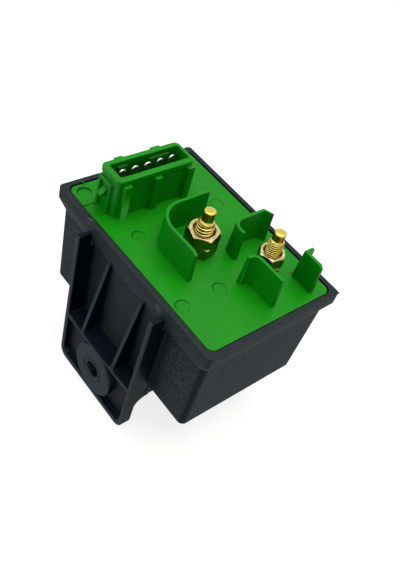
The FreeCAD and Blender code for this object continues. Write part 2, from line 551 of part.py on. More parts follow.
def make_guards(body):
    """Four insulating walls round the studs."""
    near_wall = sketch(body, "near_guard_outline", "XY", COVER_TOP)
    west, south = "(supply_x - near_guard_x)", f"({SUPPLY_Y} - near_guard_y)"
    outline(near_wall,
            (west, south, "near_guard_bend"),
            (f"{west} + near_guard_long", south),
            (f"{west} + near_guard_long", f"{south} + guard_wall"),
            (f"{west} + guard_wall", f"{south} + guard_wall", "near_guard_bend - guard_wall"),
            (f"{west} + guard_wall", f"{south} + near_guard_side"),
            (west, f"{south} + near_guard_side"))
    raise_guard(body, "near_guard", near_wall)
    droop(body, "near_guard_droop", south, f"{west} + near_guard_long", "guard_droop_run", "guard_droop")
    middle_wall = sketch(body, "mid_guard_outline", "XY", COVER_TOP)
    west, south = f"({GLOW_X} - mid_guard_x)", f"({GLOW_Y} - mid_guard_y)"
    outline(middle_wall,
            (west, south, "mid_guard_bend"),
            (f"{west} + mid_guard_long", south),
            (f"{west} + mid_guard_long", f"{south} + guard_wall"),
            (f"{west} + guard_wall", f"{south} + guard_wall", "mid_guard_bend - guard_wall"),
            (f"{west} + guard_wall", f"{south} + mid_guard_side"),
            (f"{west} + mid_guard_tail_x + guard_wall / 2",
             f"{south} + mid_guard_side + mid_guard_tail_y - guard_wall / 2"),
            (f"{west} + mid_guard_tail_x", f"{south} + mid_guard_side + mid_guard_tail_y"),
            (west, f"{south} + mid_guard_side + guard_wall / 2", "guard_turn"))
    raise_guard(body, "mid_guard", middle_wall)
    right_wall = sketch(body, "right_guard_outline", "XY", COVER_TOP)
    west, north = f"({GLOW_X} - right_guard_x)", f"({GLOW_Y} - right_guard_y)"
    outline(right_wall,
            (west, north, "right_guard_bend"),
            (west, f"{north} - right_guard_side"),
            (f"{west} + guard_wall", f"{north} - right_guard_side"),
            (f"{west} + guard_wall", f"{north} - guard_wall", "right_guard_bend - guard_wall"),
            (f"{west} + right_guard_long", f"{north} - guard_wall"),
            (f"{west} + right_guard_long", north))
    raise_guard(body, "right_guard", right_wall)
    back_wall = sketch(body, "back_guard_outline", "XY", COVER_TOP)
    west, south = f"({GLOW_X} + back_guard_x)", f"({GLOW_Y} + back_guard_y)"
    outline(back_wall,
            (west, south),
            (f"{west} + back_guard_long", south),
            (f"{west} + back_guard_long", f"{south} + guard_wall"),
            (f"{west} + guard_wall", f"{south} + guard_wall"),
            (f"{west} + guard_wall", f"{south} + back_guard_side"),
            (west, f"{south} + back_guard_side"))
    raise_guard(body, "back_guard", back_wall)
    droop(body, "back_guard_droop", south, f"{west} + back_guard_long", "back_guard_droop",
          "back_guard_droop")


def raise_guard(body, name, profile):
    """Wall on the cover that gets thinner towards its top."""
    wall = pad(body, name, profile, "guard_top + cover_sink")
    bind(wall, "TaperAngle", "-guard_draft")


def droop(body, name, wall_y, end_x, run, fall):
    """Slants the top of a guard's free end."""
    item = sketch(body, name + "_outline", "XZ", f"{wall_y} - guard_wall")
    top = "(rim_top + guard_top)"
    outline(item, (f"{end_x} - {run}", top), (f"{end_x} + guard_wall", top),
            (f"{end_x} + guard_wall", f"{top} - {fall}"), (end_x, f"{top} - {fall}"))
    pocket(body, name, item, "3 * guard_wall")


def cut_cover(body):
    """Blade slots, stud holes and the shallow round marks of the ejector pins."""
    slots = sketch(body, "slot_outline", "XY", "rim_top + socket_floor")
    for y in blade_places():
        rectangle(slots, f"{SOCKET_X} + blade_x", y, "blade_gauge / 2 + blade_play",
                  "blade_width / 2 + blade_play")
    pocket(body, "slots", slots, f"socket_floor + {PLATE_UNDER}", -1)
    holes = sketch(body, "stud_hole_outline", "XY", COVER_TOP)
    circle(holes, "supply_x", SUPPLY_Y, "supply_radius + stud_play")
    circle(holes, GLOW_X, GLOW_Y, "glow_radius + stud_play")
    pocket(body, "stud_holes", holes, "cover_plate", -1)
    marks = sketch(body, "mark_outline", "XY", COVER_TOP)
    for letter in "abce":
        circle(marks, f"mark_{letter}_x", f"{MIDDLE_Y} + mark_{letter}_y", "mark_radius")
    pocket(body, "marks", marks, "mark_depth", -1)
    deep = sketch(body, "deep_mark_outline", "XY", COVER_TOP)
    circle(deep, "mark_d_x", f"{MIDDLE_Y} + mark_d_y", "deep_mark_radius")
    pocket(body, "deep_mark", deep, "deep_mark_depth", -1)


def make_cover():
    """Green moulding: plate, socket shroud, latch and guards."""
    body = make_body("cover")
    make_plate(body)
    make_shroud(body)
    make_latch(body)
    make_guards(body)
    cut_cover(body)


def make_blades():
    """Five flat blades with round tips and thin tails through the board."""
    for number, y in enumerate(blade_places(), 1):
        body = make_body("blade_%d" % number)
        face = sketch(body, body.Name + "_outline", "YZ", f"{SOCKET_X} + blade_x - blade_gauge / 2")
        foot = below(PLATE_UNDER)
        end = below(f"{BOARD_UNDER} + tail_past")
        outline(face,
                (f"{y} - blade_width / 2", foot),
                (f"{y} - tail_width / 2", foot),
                (f"{y} - tail_width / 2", end),
                (f"{y} + tail_width / 2", end),
                (f"{y} + tail_width / 2", foot),
                (f"{y} + blade_width / 2", foot),
                (f"{y} + blade_width / 2", "rim_top + blade_top", "blade_round"),
                (f"{y} - blade_width / 2", "rim_top + blade_top", "blade_round"))
        pad(body, body.Name + "_strip", face, "blade_gauge")
        dress(body, "Chamfer", body.Name + "_point", "blade_point",
              lambda middle, along: near(middle.z, "rim_top + blade_top") and abs(along.y) > 0.9)


def make_stud(name, x, y, radius, tip, thread_top, top, across):
    """Stud with a hexagon head under the busbar, a thread and a thinner turned tip.

    Inside the nuts the two threads interlock, so the stud is a little under its outer radius there.
    """
    body = make_body(name)
    seat = f"({PLATE_UNDER} + bar_gauge)"
    head = sketch(body, name + "_head_outline", "XY")
    hexagon(head, across)
    pad(body, name + "_head", head, "stud_head", -1)
    half = sketch(body, name + "_profile", "XZ")
    free, shoulder, end = f"({seat} + nut_top)", f"({seat} + {thread_top})", f"({seat} + {top})"
    held = f"({radius} - thread_sunk)"
    outline(half, ("0", "-stud_head / 2"), (held, "-stud_head / 2"), (held, free), (radius, free),
            (radius, shoulder), (tip, f"{shoulder} + stud_cone"), (tip, f"{end} - tip_bevel"),
            (f"{tip} - tip_bevel", end), ("0", end))
    revolve(body, "Revolution", name + "_shank", half)
    place(body, x, y, below(seat))


def hexagon(item, across):
    """Hexagon round the origin, by its width across flats."""
    reach = f"({across} / 2 / cos(30))"
    outline(item, *[(f"{reach} * cos({60 * turn})", f"{reach} * sin({60 * turn})") for turn in range(6)])


def make_nut(name, x, y, radius, across, sink, bottom, top, turn):
    """Hexagon nut with bevelled corners and a countersunk bore."""
    body = make_body(name)
    rise = f"({top} - ({bottom}))"
    prism = sketch(body, name + "_outline", "XY")
    hexagon(prism, across)
    pad(body, name + "_prism", prism, rise)
    bore = sketch(body, name + "_bore_outline", "XY")
    inner = f"({radius} - thread_sunk + nut_play)"
    circle(bore, 0, 0, inner)
    pocket(body, name + "_bore", bore, rise)
    cuts = sketch(body, name + "_bevel_outline", "XZ")
    flat, far = f"({across} / 2)", f"({across} / 2 / cos(30) + bar_gauge)"
    fall = f"(({far} - {flat}) * tan(nut_bevel))"
    outline(cuts, (flat, rise), (far, rise), (far, f"{rise} - {fall}"))
    outline(cuts, (flat, "0"), (far, "0"), (far, fall))
    outline(cuts, (f"{inner} / 2", rise), (sink, rise), (inner, f"{rise} - {sink} + {inner}"),
            (f"{inner} / 2", f"{rise} - {sink} + {inner}"))
    revolve(body, "Groove", name + "_bevels", cuts)
    place(body, x, y, f"rim_top + {bottom}", size(turn))


def make_studs():
    """Both power studs, each with a lock nut on the cover and a terminal nut above it."""
    make_stud("supply_stud", "supply_x", SUPPLY_Y, "supply_radius", "supply_tip", "supply_thread",
              "supply_top", "supply_across")
    make_stud("glow_stud", GLOW_X, GLOW_Y, "glow_radius", "glow_tip", "glow_thread", "glow_top",
              "glow_across")
    for stud, x, y in (("supply", "supply_x", SUPPLY_Y), ("glow", GLOW_X, GLOW_Y)):
        for nut, bottom, top in (("lock", "-cover_sink", "lock_top"), ("nut", "lock_top", "nut_top")):
            label = stud + "_lock_nut" if nut == "lock" else stud + "_nut"
            make_nut(label, x, y, stud + "_radius", stud + "_across", stud + "_sink",
                     bottom, top, f"{stud}_{nut}_turn")


def make_busbar(name, side, x, y, radius, half):
    """Copper strip from a stud, down one long wall, to a foot under the bridge. Side is -1 or 1."""
    body = make_body(name)
    wall = f"({MIDDLE_Y} + {side} * ({CAVITY_HALF_Y} - bar_inset))"
    flange = sketch(body, name + "_flange_outline", "XY", below(PLATE_UNDER))
    outline(flange, (f"{x} - {half}", wall), (f"{x} + {half}", wall),
            (f"{x} + {half}", f"{y} - {side} * {half}", f"{half} / 2"),
            (f"{x} - {half}", f"{y} - {side} * {half}", f"{half} / 2"))
    pad(body, name + "_flange", flange, "bar_gauge", -1)
    web = sketch(body, name + "_web_outline", "XZ", wall)
    outline(web,
            (f"{x} - {half}", below(PLATE_UNDER)),
            (f"{x} + {half}", below(PLATE_UNDER)),
            (f"{x} + {half}", below("bar_drop")),
            (f"{CONTACT_X} + foot_half", below("bar_drop + bar_slant")),
            (f"{CONTACT_X} + foot_half", below(f"{FOOT_DEPTH} + bar_gauge")),
            (f"{CONTACT_X} - foot_half", below(f"{FOOT_DEPTH} + bar_gauge")),
            (f"{x} - {half}", below("bar_drop + bar_slant")))
    pad(body, name + "_web", web, "bar_gauge", -side)
    foot = sketch(body, name + "_foot_outline", "XY", below(FOOT_DEPTH))
    tip = f"{MIDDLE_Y} + {side} * (contact_y - foot_overlap)"
    outline(foot,
            (f"{CONTACT_X} - foot_half", wall),
            (f"{CONTACT_X} + foot_half", wall),
            (f"{CONTACT_X} + foot_half", tip, "foot_half / 2"),
            (f"{CONTACT_X} - foot_half", tip, "foot_half / 2"))
    pad(body, name + "_foot", foot, "bar_gauge", -1)
    hole = sketch(body, name + "_hole_outline", "XY", below(PLATE_UNDER))
    circle(hole, x, y, f"{radius} + stud_play")
    pocket(body, name + "_hole", hole, "bar_gauge", -1)
    return body


def make_busbars():
    """Both busbars; the supply's has a tab that feeds the board."""
    supply = make_busbar("supply_busbar", -1, "supply_x", SUPPLY_Y, "supply_radius", "supply_pad")
    tab = sketch(supply, "tab_outline", "XZ", f"{SUPPLY_Y} - tab_width / 2")
    top, under = below(PLATE_UNDER), below(f"{PLATE_UNDER} + bar_gauge")
    outline(tab, ("supply_x - supply_pad / 2 - bar_gauge", top), (TAB_END, top, "2 * bar_bend"),
            (TAB_END, below("board_depth")), (f"{TAB_END} + bar_gauge", below("board_depth")),
            (f"{TAB_END} + bar_gauge", under, "bar_bend"), ("supply_x - supply_pad / 2 - bar_gauge", under))
    pad(supply, "board_tab", tab, "tab_width")
    make_busbar("glow_busbar", 1, GLOW_X, GLOW_Y, "glow_radius", "glow_pad")


def cylinder(name, x, y, z, radius, height):
    """Upright cylinder from z upwards."""
    item = doc.addObject("Part::Cylinder", name)
    bind(item, "Radius", radius)
    bind(item, "Height", height)
    place(item, x, y, z)
    return item


def block(name, x, y, z, length, width, height):
    """Box whose footprint is centred on x and y, from z upwards."""
    item = doc.addObject("Part::Box", name)
    bind(item, "Length", length)
    bind(item, "Width", width)
    bind(item, "Height", height)
    place(item, f"{x} - ({length}) / 2", f"{y} - ({width}) / 2", z)
    return item


def join(kind, name, items, node=True):
    """Fusion or loose group of several shapes."""
    item = doc.addObject("Part::" + kind, name)
    if kind == "Compound":
        item.Links = items
    else:
        item.Shapes = items
    if node:
        nodes.append(item)
    return item


def make_contacts():
    """Fixed tips on the busbars' feet, the bridge over them and its moving tips."""
    for name, side in (("supply_contact", -1), ("glow_contact", 1)):
        nodes.append(cylinder(name, CONTACT_X, f"{MIDDLE_Y} + {side} * contact_y", below(FOOT_DEPTH),
                              "contact_radius", "contact_height"))
    tips = [cylinder("moving_tip_%d" % (side + 1), CONTACT_X, f"{MIDDLE_Y} + {side} * contact_y",
                     below(MOVING_TIP), "contact_radius", "contact_height") for side in (-1, 1)]
    join("Compound", "moving_contacts", tips)
    bridge = make_body("contact_bridge")
    strip = sketch(bridge, "bridge_outline", "XY", below(ARMATURE_TOP))
    rectangle(strip, CONTACT_X, MIDDLE_Y, "bridge_half_x", "bridge_half_y", "bridge_half_x / 2")
    pad(bridge, "bridge_strip", strip, "bridge_gauge", -1)


def make_armature():
    """Hinged plate with a spring tail, the insulating arm on it and the rivets."""
    armature = make_body("armature")
    rivet_x = f"({ARMATURE_END} - rivet_inset)"
    plate = sketch(armature, "armature_outline", "XY", below("hinge_depth"))
    heel = "(hinge_x - yoke_gauge)"
    low, high = f"({MIDDLE_Y} - armature_half)", f"({MIDDLE_Y} + armature_half)"
    tail_low, tail_high = f"({MIDDLE_Y} - tail_half)", f"({MIDDLE_Y} + tail_half)"
    outline(plate, ("tail_end", tail_low), (heel, tail_low), (heel, low),
            (ARMATURE_END, low, "tail_half / 2"), (ARMATURE_END, high, "tail_half / 2"),
            (heel, high), (heel, tail_high), ("tail_end", tail_high))
    pad(armature, "armature_plate", plate, "armature_gauge")
    holes = sketch(armature, "rivet_hole_outline", "XY", below("hinge_depth"))
    for side in (-1, 1):
        circle(holes, rivet_x, f"{MIDDLE_Y} + {side} * rivet_y", "rivet_radius + core_play")
    pocket(armature, "rivet_holes", holes, "armature_gauge")
    carrier = make_body("contact_carrier")
    side = sketch(carrier, "carrier_outline", "XZ", f"{MIDDLE_Y} - carrier_half")
    under, top = below(ARMATURE_TOP), below(f"{ARMATURE_TOP} - carrier_height")
    lip = f"({CONTACT_X} + bridge_half_x + core_play)"
    start = f"({ARMATURE_END} - carrier_overlap)"
    outline(side, (start, under), (lip, under),
            (lip, f"{under} - carrier_lip_drop"), (f"{lip} + carrier_lip", f"{under} - carrier_lip_drop"),
            (f"{lip} + carrier_lip", top, "carrier_lip"), (start, top, "carrier_lip"))
    pad(carrier, "carrier_bar", side, "2 * carrier_half")
    bores = sketch(carrier, "carrier_bore_outline", "XY", top)
    for side in (-1, 1):
        circle(bores, rivet_x, f"{MIDDLE_Y} + {side} * rivet_y", "rivet_radius + core_play")
    pocket(carrier, "carrier_bores", bores, "carrier_height", -1)
    rivets = []
    for side in (-1, 1):
        y = f"{MIDDLE_Y} + {side} * rivet_y"
        shank = cylinder("rivet_shank", rivet_x, y, below("hinge_depth"), "rivet_radius",
                         "armature_gauge + carrier_height")
        head = cylinder("rivet_head", rivet_x, y, top, "rivet_head", "rivet_dome")
        rivets.append(join("MultiFuse", "rivet", [shank, head], node=False))
    join("Compound", "carrier_rivets", rivets)


def make_magnet():
    """Bent yoke with a spring hook, core with its pole face, bobbin and winding."""
    yoke = make_body("yoke")
    strip = sketch(yoke, "yoke_outline", "XZ", f"{MIDDLE_Y} - yoke_half")
    heel = "(hinge_x - yoke_gauge)"
    outline(strip, ("yoke_end", below(YOKE_DEPTH)), (heel, below(YOKE_DEPTH), "yoke_bend"),
            (heel, below("hinge_depth")), ("hinge_x", below("hinge_depth")),
            ("hinge_x", below(YOKE_SEAT), "yoke_bend - yoke_gauge"),
            ("yoke_end", below(YOKE_SEAT)))
    pad(yoke, "yoke_strip", strip, "2 * yoke_half")
    hook = sketch(yoke, "hook_outline", "XY", below(HOOK_DEPTH))
    outline(hook,
            ("hook_end", f"{MIDDLE_Y} - tail_half"),
            (f"{heel} + yoke_gauge / 2", f"{MIDDLE_Y} - tail_half"),
            (f"{heel} + yoke_gauge / 2", f"{MIDDLE_Y} + tail_half"),
            ("hook_end", f"{MIDDLE_Y} + tail_half"))
    pad(yoke, "spring_hook", hook, "hook_gauge")
    holes = sketch(yoke, "yoke_hole_outline", "XY", below(YOKE_DEPTH))
    circle(holes, "core_x", MIDDLE_Y, "spigot_radius")
    for side in (-1, 1):
        circle(holes, "yoke_screw_x", f"{MIDDLE_Y} + {side} * yoke_screw_y", "screw_radius + core_play")
    pocket(yoke, "yoke_holes", holes, "yoke_gauge")
    core = make_body("core")
    half = sketch(core, "core_profile", "XZ")
    outline(half, ("0", "-yoke_gauge"), ("spigot_radius", "-yoke_gauge"), ("spigot_radius", "0"),
            ("core_radius", "0"), ("core_radius", COIL_HEIGHT), ("pole_radius", COIL_HEIGHT),
            ("pole_radius", f"{COIL_HEIGHT} + pole_gauge"), ("0", f"{COIL_HEIGHT} + pole_gauge"))
    revolve(core, "Revolution", "core_turn", half)
    bobbin = make_body("bobbin")
    former = sketch(bobbin, "bobbin_profile", "XZ")
    inner, tube = "(core_radius + core_play)", "(core_radius + core_play + bobbin_wall)"
    top = f"({COIL_HEIGHT} - core_play)"
    outline(former,
            (inner, "0"),
            ("flange_radius", "0"),
            ("flange_radius", "flange_gauge"),
            (tube, "flange_gauge"),
            (tube, f"{top} - flange_gauge"),
            ("flange_radius", f"{top} - flange_gauge"),
            ("flange_radius", top),
            (inner, top))
    revolve(bobbin, "Revolution", "bobbin_turn", former)
    winding = make_body("coil_winding")
    wire = sketch(winding, "winding_profile", "XZ")
    low, high = "flange_gauge + winding_play", f"{top} - flange_gauge - winding_play"
    outline(wire, (f"{tube} + winding_play", low), (f"{tube} + winding_depth", low),
            (f"{tube} + winding_depth", high), (f"{tube} + winding_play", high))
    revolve(winding, "Revolution", "winding_turn", wire)
    for body in (core, bobbin, winding):
        place(body, "core_x", MIDDLE_Y, below(YOKE_SEAT))


def make_spring():
    """Coiled return spring between the yoke's hook and the armature's tail."""
    body = make_body("return_spring")
    wire = sketch(body, "spring_wire_outline", "XZ")
    circle(wire, "spring_coil", "0", "spring_wire")
    span = "(hook_drop - hook_gauge - 2 * spring_play - 2 * spring_wire)"
    coil = body.newObject("PartDesign::AdditiveHelix", "spring_coils")
    coil.Profile = wire
    coil.ReferenceAxis = (wire, ["V_Axis"])
    coil.Mode = "pitch-height-angle"
    bind(coil, "Pitch", f"{span} / spring_turns")
    bind(coil, "Height", span)
    place(body, "spring_x", MIDDLE_Y, below(f"{HOOK_DEPTH} - hook_gauge - spring_play - spring_wire"))


def make_screws(name, places, seat, upwards, radius, reach):
    """Screws of one kind. Their heads lie on the seat, shanks away from it."""
    screws = []
    for x, y in places:
        head_z = f"{seat} - screw_head_height" if upwards else seat
        shank_z = seat if upwards else f"{seat} - ({reach})"
        head = cylinder(name + "_head", x, y, head_z, "screw_head", "screw_head_height")
        shank = cylinder(name + "_shank", x, y, shank_z, radius, reach)
        screws.append(join("MultiFuse", name + "_single", [head, shank], node=False))
    join("Compound", name, screws)


def make_board():
    """Board with holes for the blades' tails and the screws."""
    body = make_body("circuit_board")
    plate = sketch(body, "board_outline", "XY", below("board_depth"))
    rectangle(plate, BOARD_X, MIDDLE_Y, "board_half_x", BOARD_HALF_Y)
    for y in blade_places():
        rectangle(plate, f"{SOCKET_X} + blade_x", y, "blade_gauge / 2 + screw_play",
                  "tail_width / 2 + screw_play")
    for x, y in board_posts():
        circle(plate, x, y, "board_screw + core_play")
    pad(body, "board_plate", plate, "board_gauge", -1)


def make_board_parts():
    """Capacitors, control chip, driver, diode and resistors under the board."""
    def hang(height):
        return below(f"{BOARD_UNDER} + {height}")

    cans = (("big_can", f"{MIDDLE_Y} + {BOARD_HALF_Y} - big_can_inset"),
            ("small_can", f"{MIDDLE_Y} + small_can_y"))
    for number, (can, y) in enumerate(cans, 1):
        nodes.append(cylinder("capacitor_%d" % number, f"{BOARD_X} + {can}_x", y, hang(can + "_height"),
                              can + "_radius", can + "_height"))
    chip_x, chip_y = f"{BOARD_X} + chip_x", f"{MIDDLE_Y} + chip_y"
    pieces = [block("chip_case", chip_x, chip_y, hang("chip_height"), "chip_length", "chip_width",
                    "chip_height")]
    for step in (-1.5, -0.5, 0.5, 1.5):
        pieces.append(block("chip_leg", f"{chip_x} + {step} * chip_pitch", chip_y, hang("chip_leg"),
                            "chip_leg", "chip_width + 2 * chip_leg_reach", "chip_leg"))
    join("MultiFuse", "control_chip", pieces)
    driver_x, driver_y = f"{BOARD_X} + driver_x", f"{MIDDLE_Y} + driver_y"
    case = block("driver_case", driver_x, driver_y, hang("driver_height"), "driver_length", "driver_width",
                 "driver_height")
    tab = block("driver_tab", driver_x, f"{driver_y} + driver_width / 2", hang("chip_leg"),
                "driver_length - chip_leg_reach", "2 * chip_leg_reach", "chip_leg")
    join("MultiFuse", "driver_transistor", [case, tab])
    diode = doc.addObject("Part::Cylinder", "diode")
    bind(diode, "Radius", "diode_radius")
    bind(diode, "Height", "diode_length")
    diode.Placement.Rotation = FreeCAD.Rotation(Vector(1, 0, 0), -90)
    bind(diode, "Placement.Base.x", f"{BOARD_X} + diode_x")
    bind(diode, "Placement.Base.y", f"{MIDDLE_Y} + diode_y - diode_length / 2")
    bind(diode, "Placement.Base.z", hang("diode_radius"))
    nodes.append(diode)
    row_y = f"{MIDDLE_Y} - {BOARD_HALF_Y} + resistor_inset"
    chips = [block("resistor", f"{BOARD_X} + resistor_x", f"{row_y} + {step} * resistor_step",
                   hang("resistor_height"), "resistor_length", "resistor_width", "resistor_height")
             for step in (-1, 0, 1)]
    join("Compound", "resistors", chips)


def tube(points, radius, bend):
    """Round wire along straight runs joined by tangent arcs."""
    edges = []
    start = points[0]
    for before, corner, after in zip(points, points[1:], points[2:]):
        back = (before - corner).normalize()
        ahead = (after - corner).normalize()
        half = back.getAngle(ahead) / 2
        run = bend / math.tan(half)
        centre = corner + (back + ahead).normalize() * (bend / math.sin(half))
        first, last = corner + back * run, corner + ahead * run
        middle = centre + (corner - centre).normalize() * bend
        edges += [Part.LineSegment(start, first).toShape(), Part.Arc(first, middle, last).toShape()]
        start = last
    edges.append(Part.LineSegment(start, points[-1]).toShape())
    section = Part.Wire(Part.Circle(points[0], points[1] - points[0], radius).toShape())
    return Part.Wire(edges).makePipeShell([section], True, True)


def make_leads():
    """Two insulated leads from the coil's upper flange to the board."""
    item = doc.addObject("Part::Feature", "coil_leads")
    flange = size(below(f"{POLE_DEPTH} + pole_gauge + core_play + flange_gauge / 2"))
    board = size(below(BOARD_UNDER))
    middle = size(MIDDLE_Y)
    side, out, end = size("lead_side"), size("lead_out"), size(f"{BOARD_X} + board_half_x - lead_inset")
    start = size("core_x - sqrt((flange_radius + 1.2 * lead_radius) ^ 2 - lead_side ^ 2)")
    leads = []
    for sign in (-1, 1):
        points = [Vector(start, middle + sign * side, flange), Vector(end, middle + sign * out, flange),
                  Vector(end, middle + sign * out, board)]
        leads.append(tube(points, size("lead_radius"), size("lead_bend")))
    item.Shape = Part.makeCompound(leads)
    nodes.append(item)


def export():
    """Checks every object and writes each node to its own file."""
    doc.recompute()
    for item in doc.Objects:
        if "Invalid" in item.State or "Error" in item.State:
            raise RuntimeError("%s failed: %s" % (item.Name, item.State))
    for node in nodes:
        if node.Shape.isNull() or not node.Shape.isValid():
            raise RuntimeError(node.Label + " has no valid shape")
        node.Shape.exportStep("parts/%s.step" % node.Label)


doc.recompute()
make_housing()
make_cover()
make_blades()
make_studs()
make_busbars()
make_contacts()
make_armature()
make_magnet()
make_spring()
make_board()
make_board_parts()
make_leads()
make_screws("yoke_screws", [("yoke_screw_x", f"{MIDDLE_Y} + {side} * yoke_screw_y") for side in (-1, 1)],
            below(YOKE_SEAT), False, "screw_radius",
            "yoke_gauge + yoke_lift - screw_short")
make_screws("board_screws", board_posts(), below(BOARD_UNDER), True, "board_screw",
            "board_gauge + board_screw_reach")
export()
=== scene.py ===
"""Dresses the glow plug relay: rounded mouldings, cut threads, bevelled nuts and their finishes.

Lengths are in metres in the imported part's frame, and MM turns millimetres into them.
"""

import json
import math

import bmesh
import bpy
import numpy as np
from mathutils import Matrix, Vector

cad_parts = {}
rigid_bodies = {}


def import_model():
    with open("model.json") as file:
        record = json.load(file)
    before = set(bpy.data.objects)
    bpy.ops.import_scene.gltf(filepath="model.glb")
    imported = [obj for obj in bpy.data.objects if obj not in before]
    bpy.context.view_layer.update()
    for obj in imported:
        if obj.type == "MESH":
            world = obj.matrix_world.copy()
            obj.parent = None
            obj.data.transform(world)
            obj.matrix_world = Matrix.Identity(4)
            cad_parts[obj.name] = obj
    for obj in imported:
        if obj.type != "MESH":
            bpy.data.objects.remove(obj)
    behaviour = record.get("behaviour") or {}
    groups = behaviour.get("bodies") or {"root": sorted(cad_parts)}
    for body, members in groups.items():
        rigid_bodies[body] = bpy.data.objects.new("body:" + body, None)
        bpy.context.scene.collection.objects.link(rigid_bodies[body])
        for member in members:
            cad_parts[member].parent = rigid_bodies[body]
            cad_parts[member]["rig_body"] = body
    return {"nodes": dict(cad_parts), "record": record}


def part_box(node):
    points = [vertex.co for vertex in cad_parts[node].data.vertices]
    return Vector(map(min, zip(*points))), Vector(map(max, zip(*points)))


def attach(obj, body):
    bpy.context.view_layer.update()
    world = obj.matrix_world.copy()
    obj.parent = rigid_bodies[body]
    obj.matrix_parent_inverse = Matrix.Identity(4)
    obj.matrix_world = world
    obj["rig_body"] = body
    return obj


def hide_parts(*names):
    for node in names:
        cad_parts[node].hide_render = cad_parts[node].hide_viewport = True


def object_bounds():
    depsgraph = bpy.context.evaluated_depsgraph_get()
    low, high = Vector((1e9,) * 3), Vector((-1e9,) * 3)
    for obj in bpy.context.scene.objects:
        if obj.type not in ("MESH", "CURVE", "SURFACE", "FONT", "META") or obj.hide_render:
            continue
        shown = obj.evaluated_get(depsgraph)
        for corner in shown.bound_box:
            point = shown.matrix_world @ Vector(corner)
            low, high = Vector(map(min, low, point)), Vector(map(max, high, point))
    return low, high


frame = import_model()
cad_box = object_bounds()
MM = 0.001

# camera, as fitted to the photograph
EYE = Vector((105.99, -98.42, 201.90)) * MM
AIM = Vector((17.40, 19.29, 52.25)) * MM
ROLL = math.radians(19.53)
LENS = 44.43

# power studs: axis, thread, tip and nut sizes in millimetres, nut turns in degrees, the thread's painted
# shade
RIM_TOP = 50.2
STUDS = {
    "supply": dict(x=3.2, y=30.7, radius=3.0, pitch=1.2, thread=11.3, tip=1.93, top=16.0, across=10.0,
                   sink=3.8, lock_turn=43.0, nut_turn=45.0, thread_shade=0.25),
    "glow": dict(x=20.5, y=44.8, radius=2.5, pitch=0.8, thread=12.7, tip=1.93, top=16.4, across=8.0,
                 sink=3.15, lock_turn=4.0, nut_turn=17.0, thread_shade=0.85),
}

# both studs: thread depth in pitches, then cone, waist and tip bevel in millimetres
THREAD_DEPTH = 0.61
CONE = 0.55
WAIST = 0.04
TIP_BEVEL = 0.5

# nuts: lower and upper ends above the rim, slope of the bevels, their flat faces' radii as shares of half the
# width across flats, and the number of points round every turning
NUT_LEVELS = {"lock": (-0.3, 4.0), "nut": (4.0, 8.2)}
NUT_BEVEL = math.radians(38)
NUT_FACES = {"lock": (0.985, 1.06), "nut": (1.04, 0.965)}
AROUND = 144

# rounding of the moulded edges, in millimetres
ROUNDING = {"housing": 0.25, "cover": 0.2, "blade": 0.08}

# cover and rim: top, outer corner, lower edge, middle line, ledge's half sizes and corner, scuffed places
COVER_TOP = 49.9
RIM_CORNER = 1.5
RIM_UNDER = 41.35
MIDDLE_Y = 33.3
LEDGE = (37.96, 25.76, 2.8)
SCUFFS = ((-21.4, 5.5, 50.0), (16.2, 5.5, 47.7))

# mounting foot: half width over its side ribs, top of its shelf, depths of its plate and of the tub's wall
FOOT_HALF = 20.6
SHELF_TOP = 11.0
PLATE_FACE = 5.3
TUB_FACE = 6.95

# inside of the socket, where shade is painted: its middle, half sizes and top in millimetres
MOUTH = (-24.5, 27.8, 3.5, 13.4, 64.0)

# ejector pin marks in the cover: place and radius in millimetres, and how strongly they show, with their
# painted shade and painted highlight
MARKS = ((-9.5, 16.3, 2.4, 0.9), (20.1, 11.2, 2.4, 0.9), (19.9, 26.0, 2.4, 0.8), (-33.7, 11.7, 2.6, 1.0),
         (-10.9, 50.4, 2.4, 0.1))

# easing of the edges of the pieces inside, in millimetres
EASED = {
    "supply_busbar": 0.2, "glow_busbar": 0.2, "supply_contact": 0.15, "glow_contact": 0.15,
    "contact_bridge": 0.12, "moving_contacts": 0.15, "contact_carrier": 0.2, "carrier_rivets": 0.15,
    "armature": 0.12, "yoke": 0.2, "yoke_screws": 0.2, "core": 0.15, "bobbin": 0.12,
    "circuit_board": 0.06, "board_screws": 0.2, "control_chip": 0.08, "driver_transistor": 0.1,
    "diode": 0.25, "resistors": 0.06,
}

# coil: thickness of its wire and radius of its hollow, in millimetres
WIRE = 0.3
COIL_HOLLOW = 5.05


class Shade:
    """A shader value that can be used in sums, products and powers; each operator adds its Math node."""

    def __init__(self, finish, socket):
        self.finish = finish
        self.socket = socket

    def math(self, operation, *values):
        """The result of a Math node fed with the values."""
        item = self.finish.tree.nodes.new("ShaderNodeMath")
        item.operation = operation
        for socket, value in zip(item.inputs, values):
            self.finish.feed(socket, value)
        return Shade(self.finish, item.outputs[0])

    def __add__(self, other):
        return self.math("ADD", self, other)

    def __radd__(self, other):
        return self.math("ADD", other, self)

    def __sub__(self, other):
        return self.math("SUBTRACT", self, other)

    def __rsub__(self, other):
        return self.math("SUBTRACT", other, self)

    def __mul__(self, other):
        return self.math("MULTIPLY", self, other)

    def __rmul__(self, other):
        return self.math("MULTIPLY", other, self)

    def __truediv__(self, other):
        return self.math("DIVIDE", self, other)

    def __rtruediv__(self, other):
        return self.math("DIVIDE", other, self)

    def __pow__(self, other):
        return self.math("POWER", self, other)

    def size(self):
        """The value without its sign."""
        return self.math("ABSOLUTE", self)

    def above(self, edge, softness):
        """0 below the edge, 1 above it, with a soft step between."""
        ramp = self.finish.node("MapRange", {"interpolation_type": "SMOOTHSTEP"}, {
            "Value": self, "From Min": edge - softness, "From Max": edge + softness})
        return Shade(self.finish, ramp.outputs["Result"])


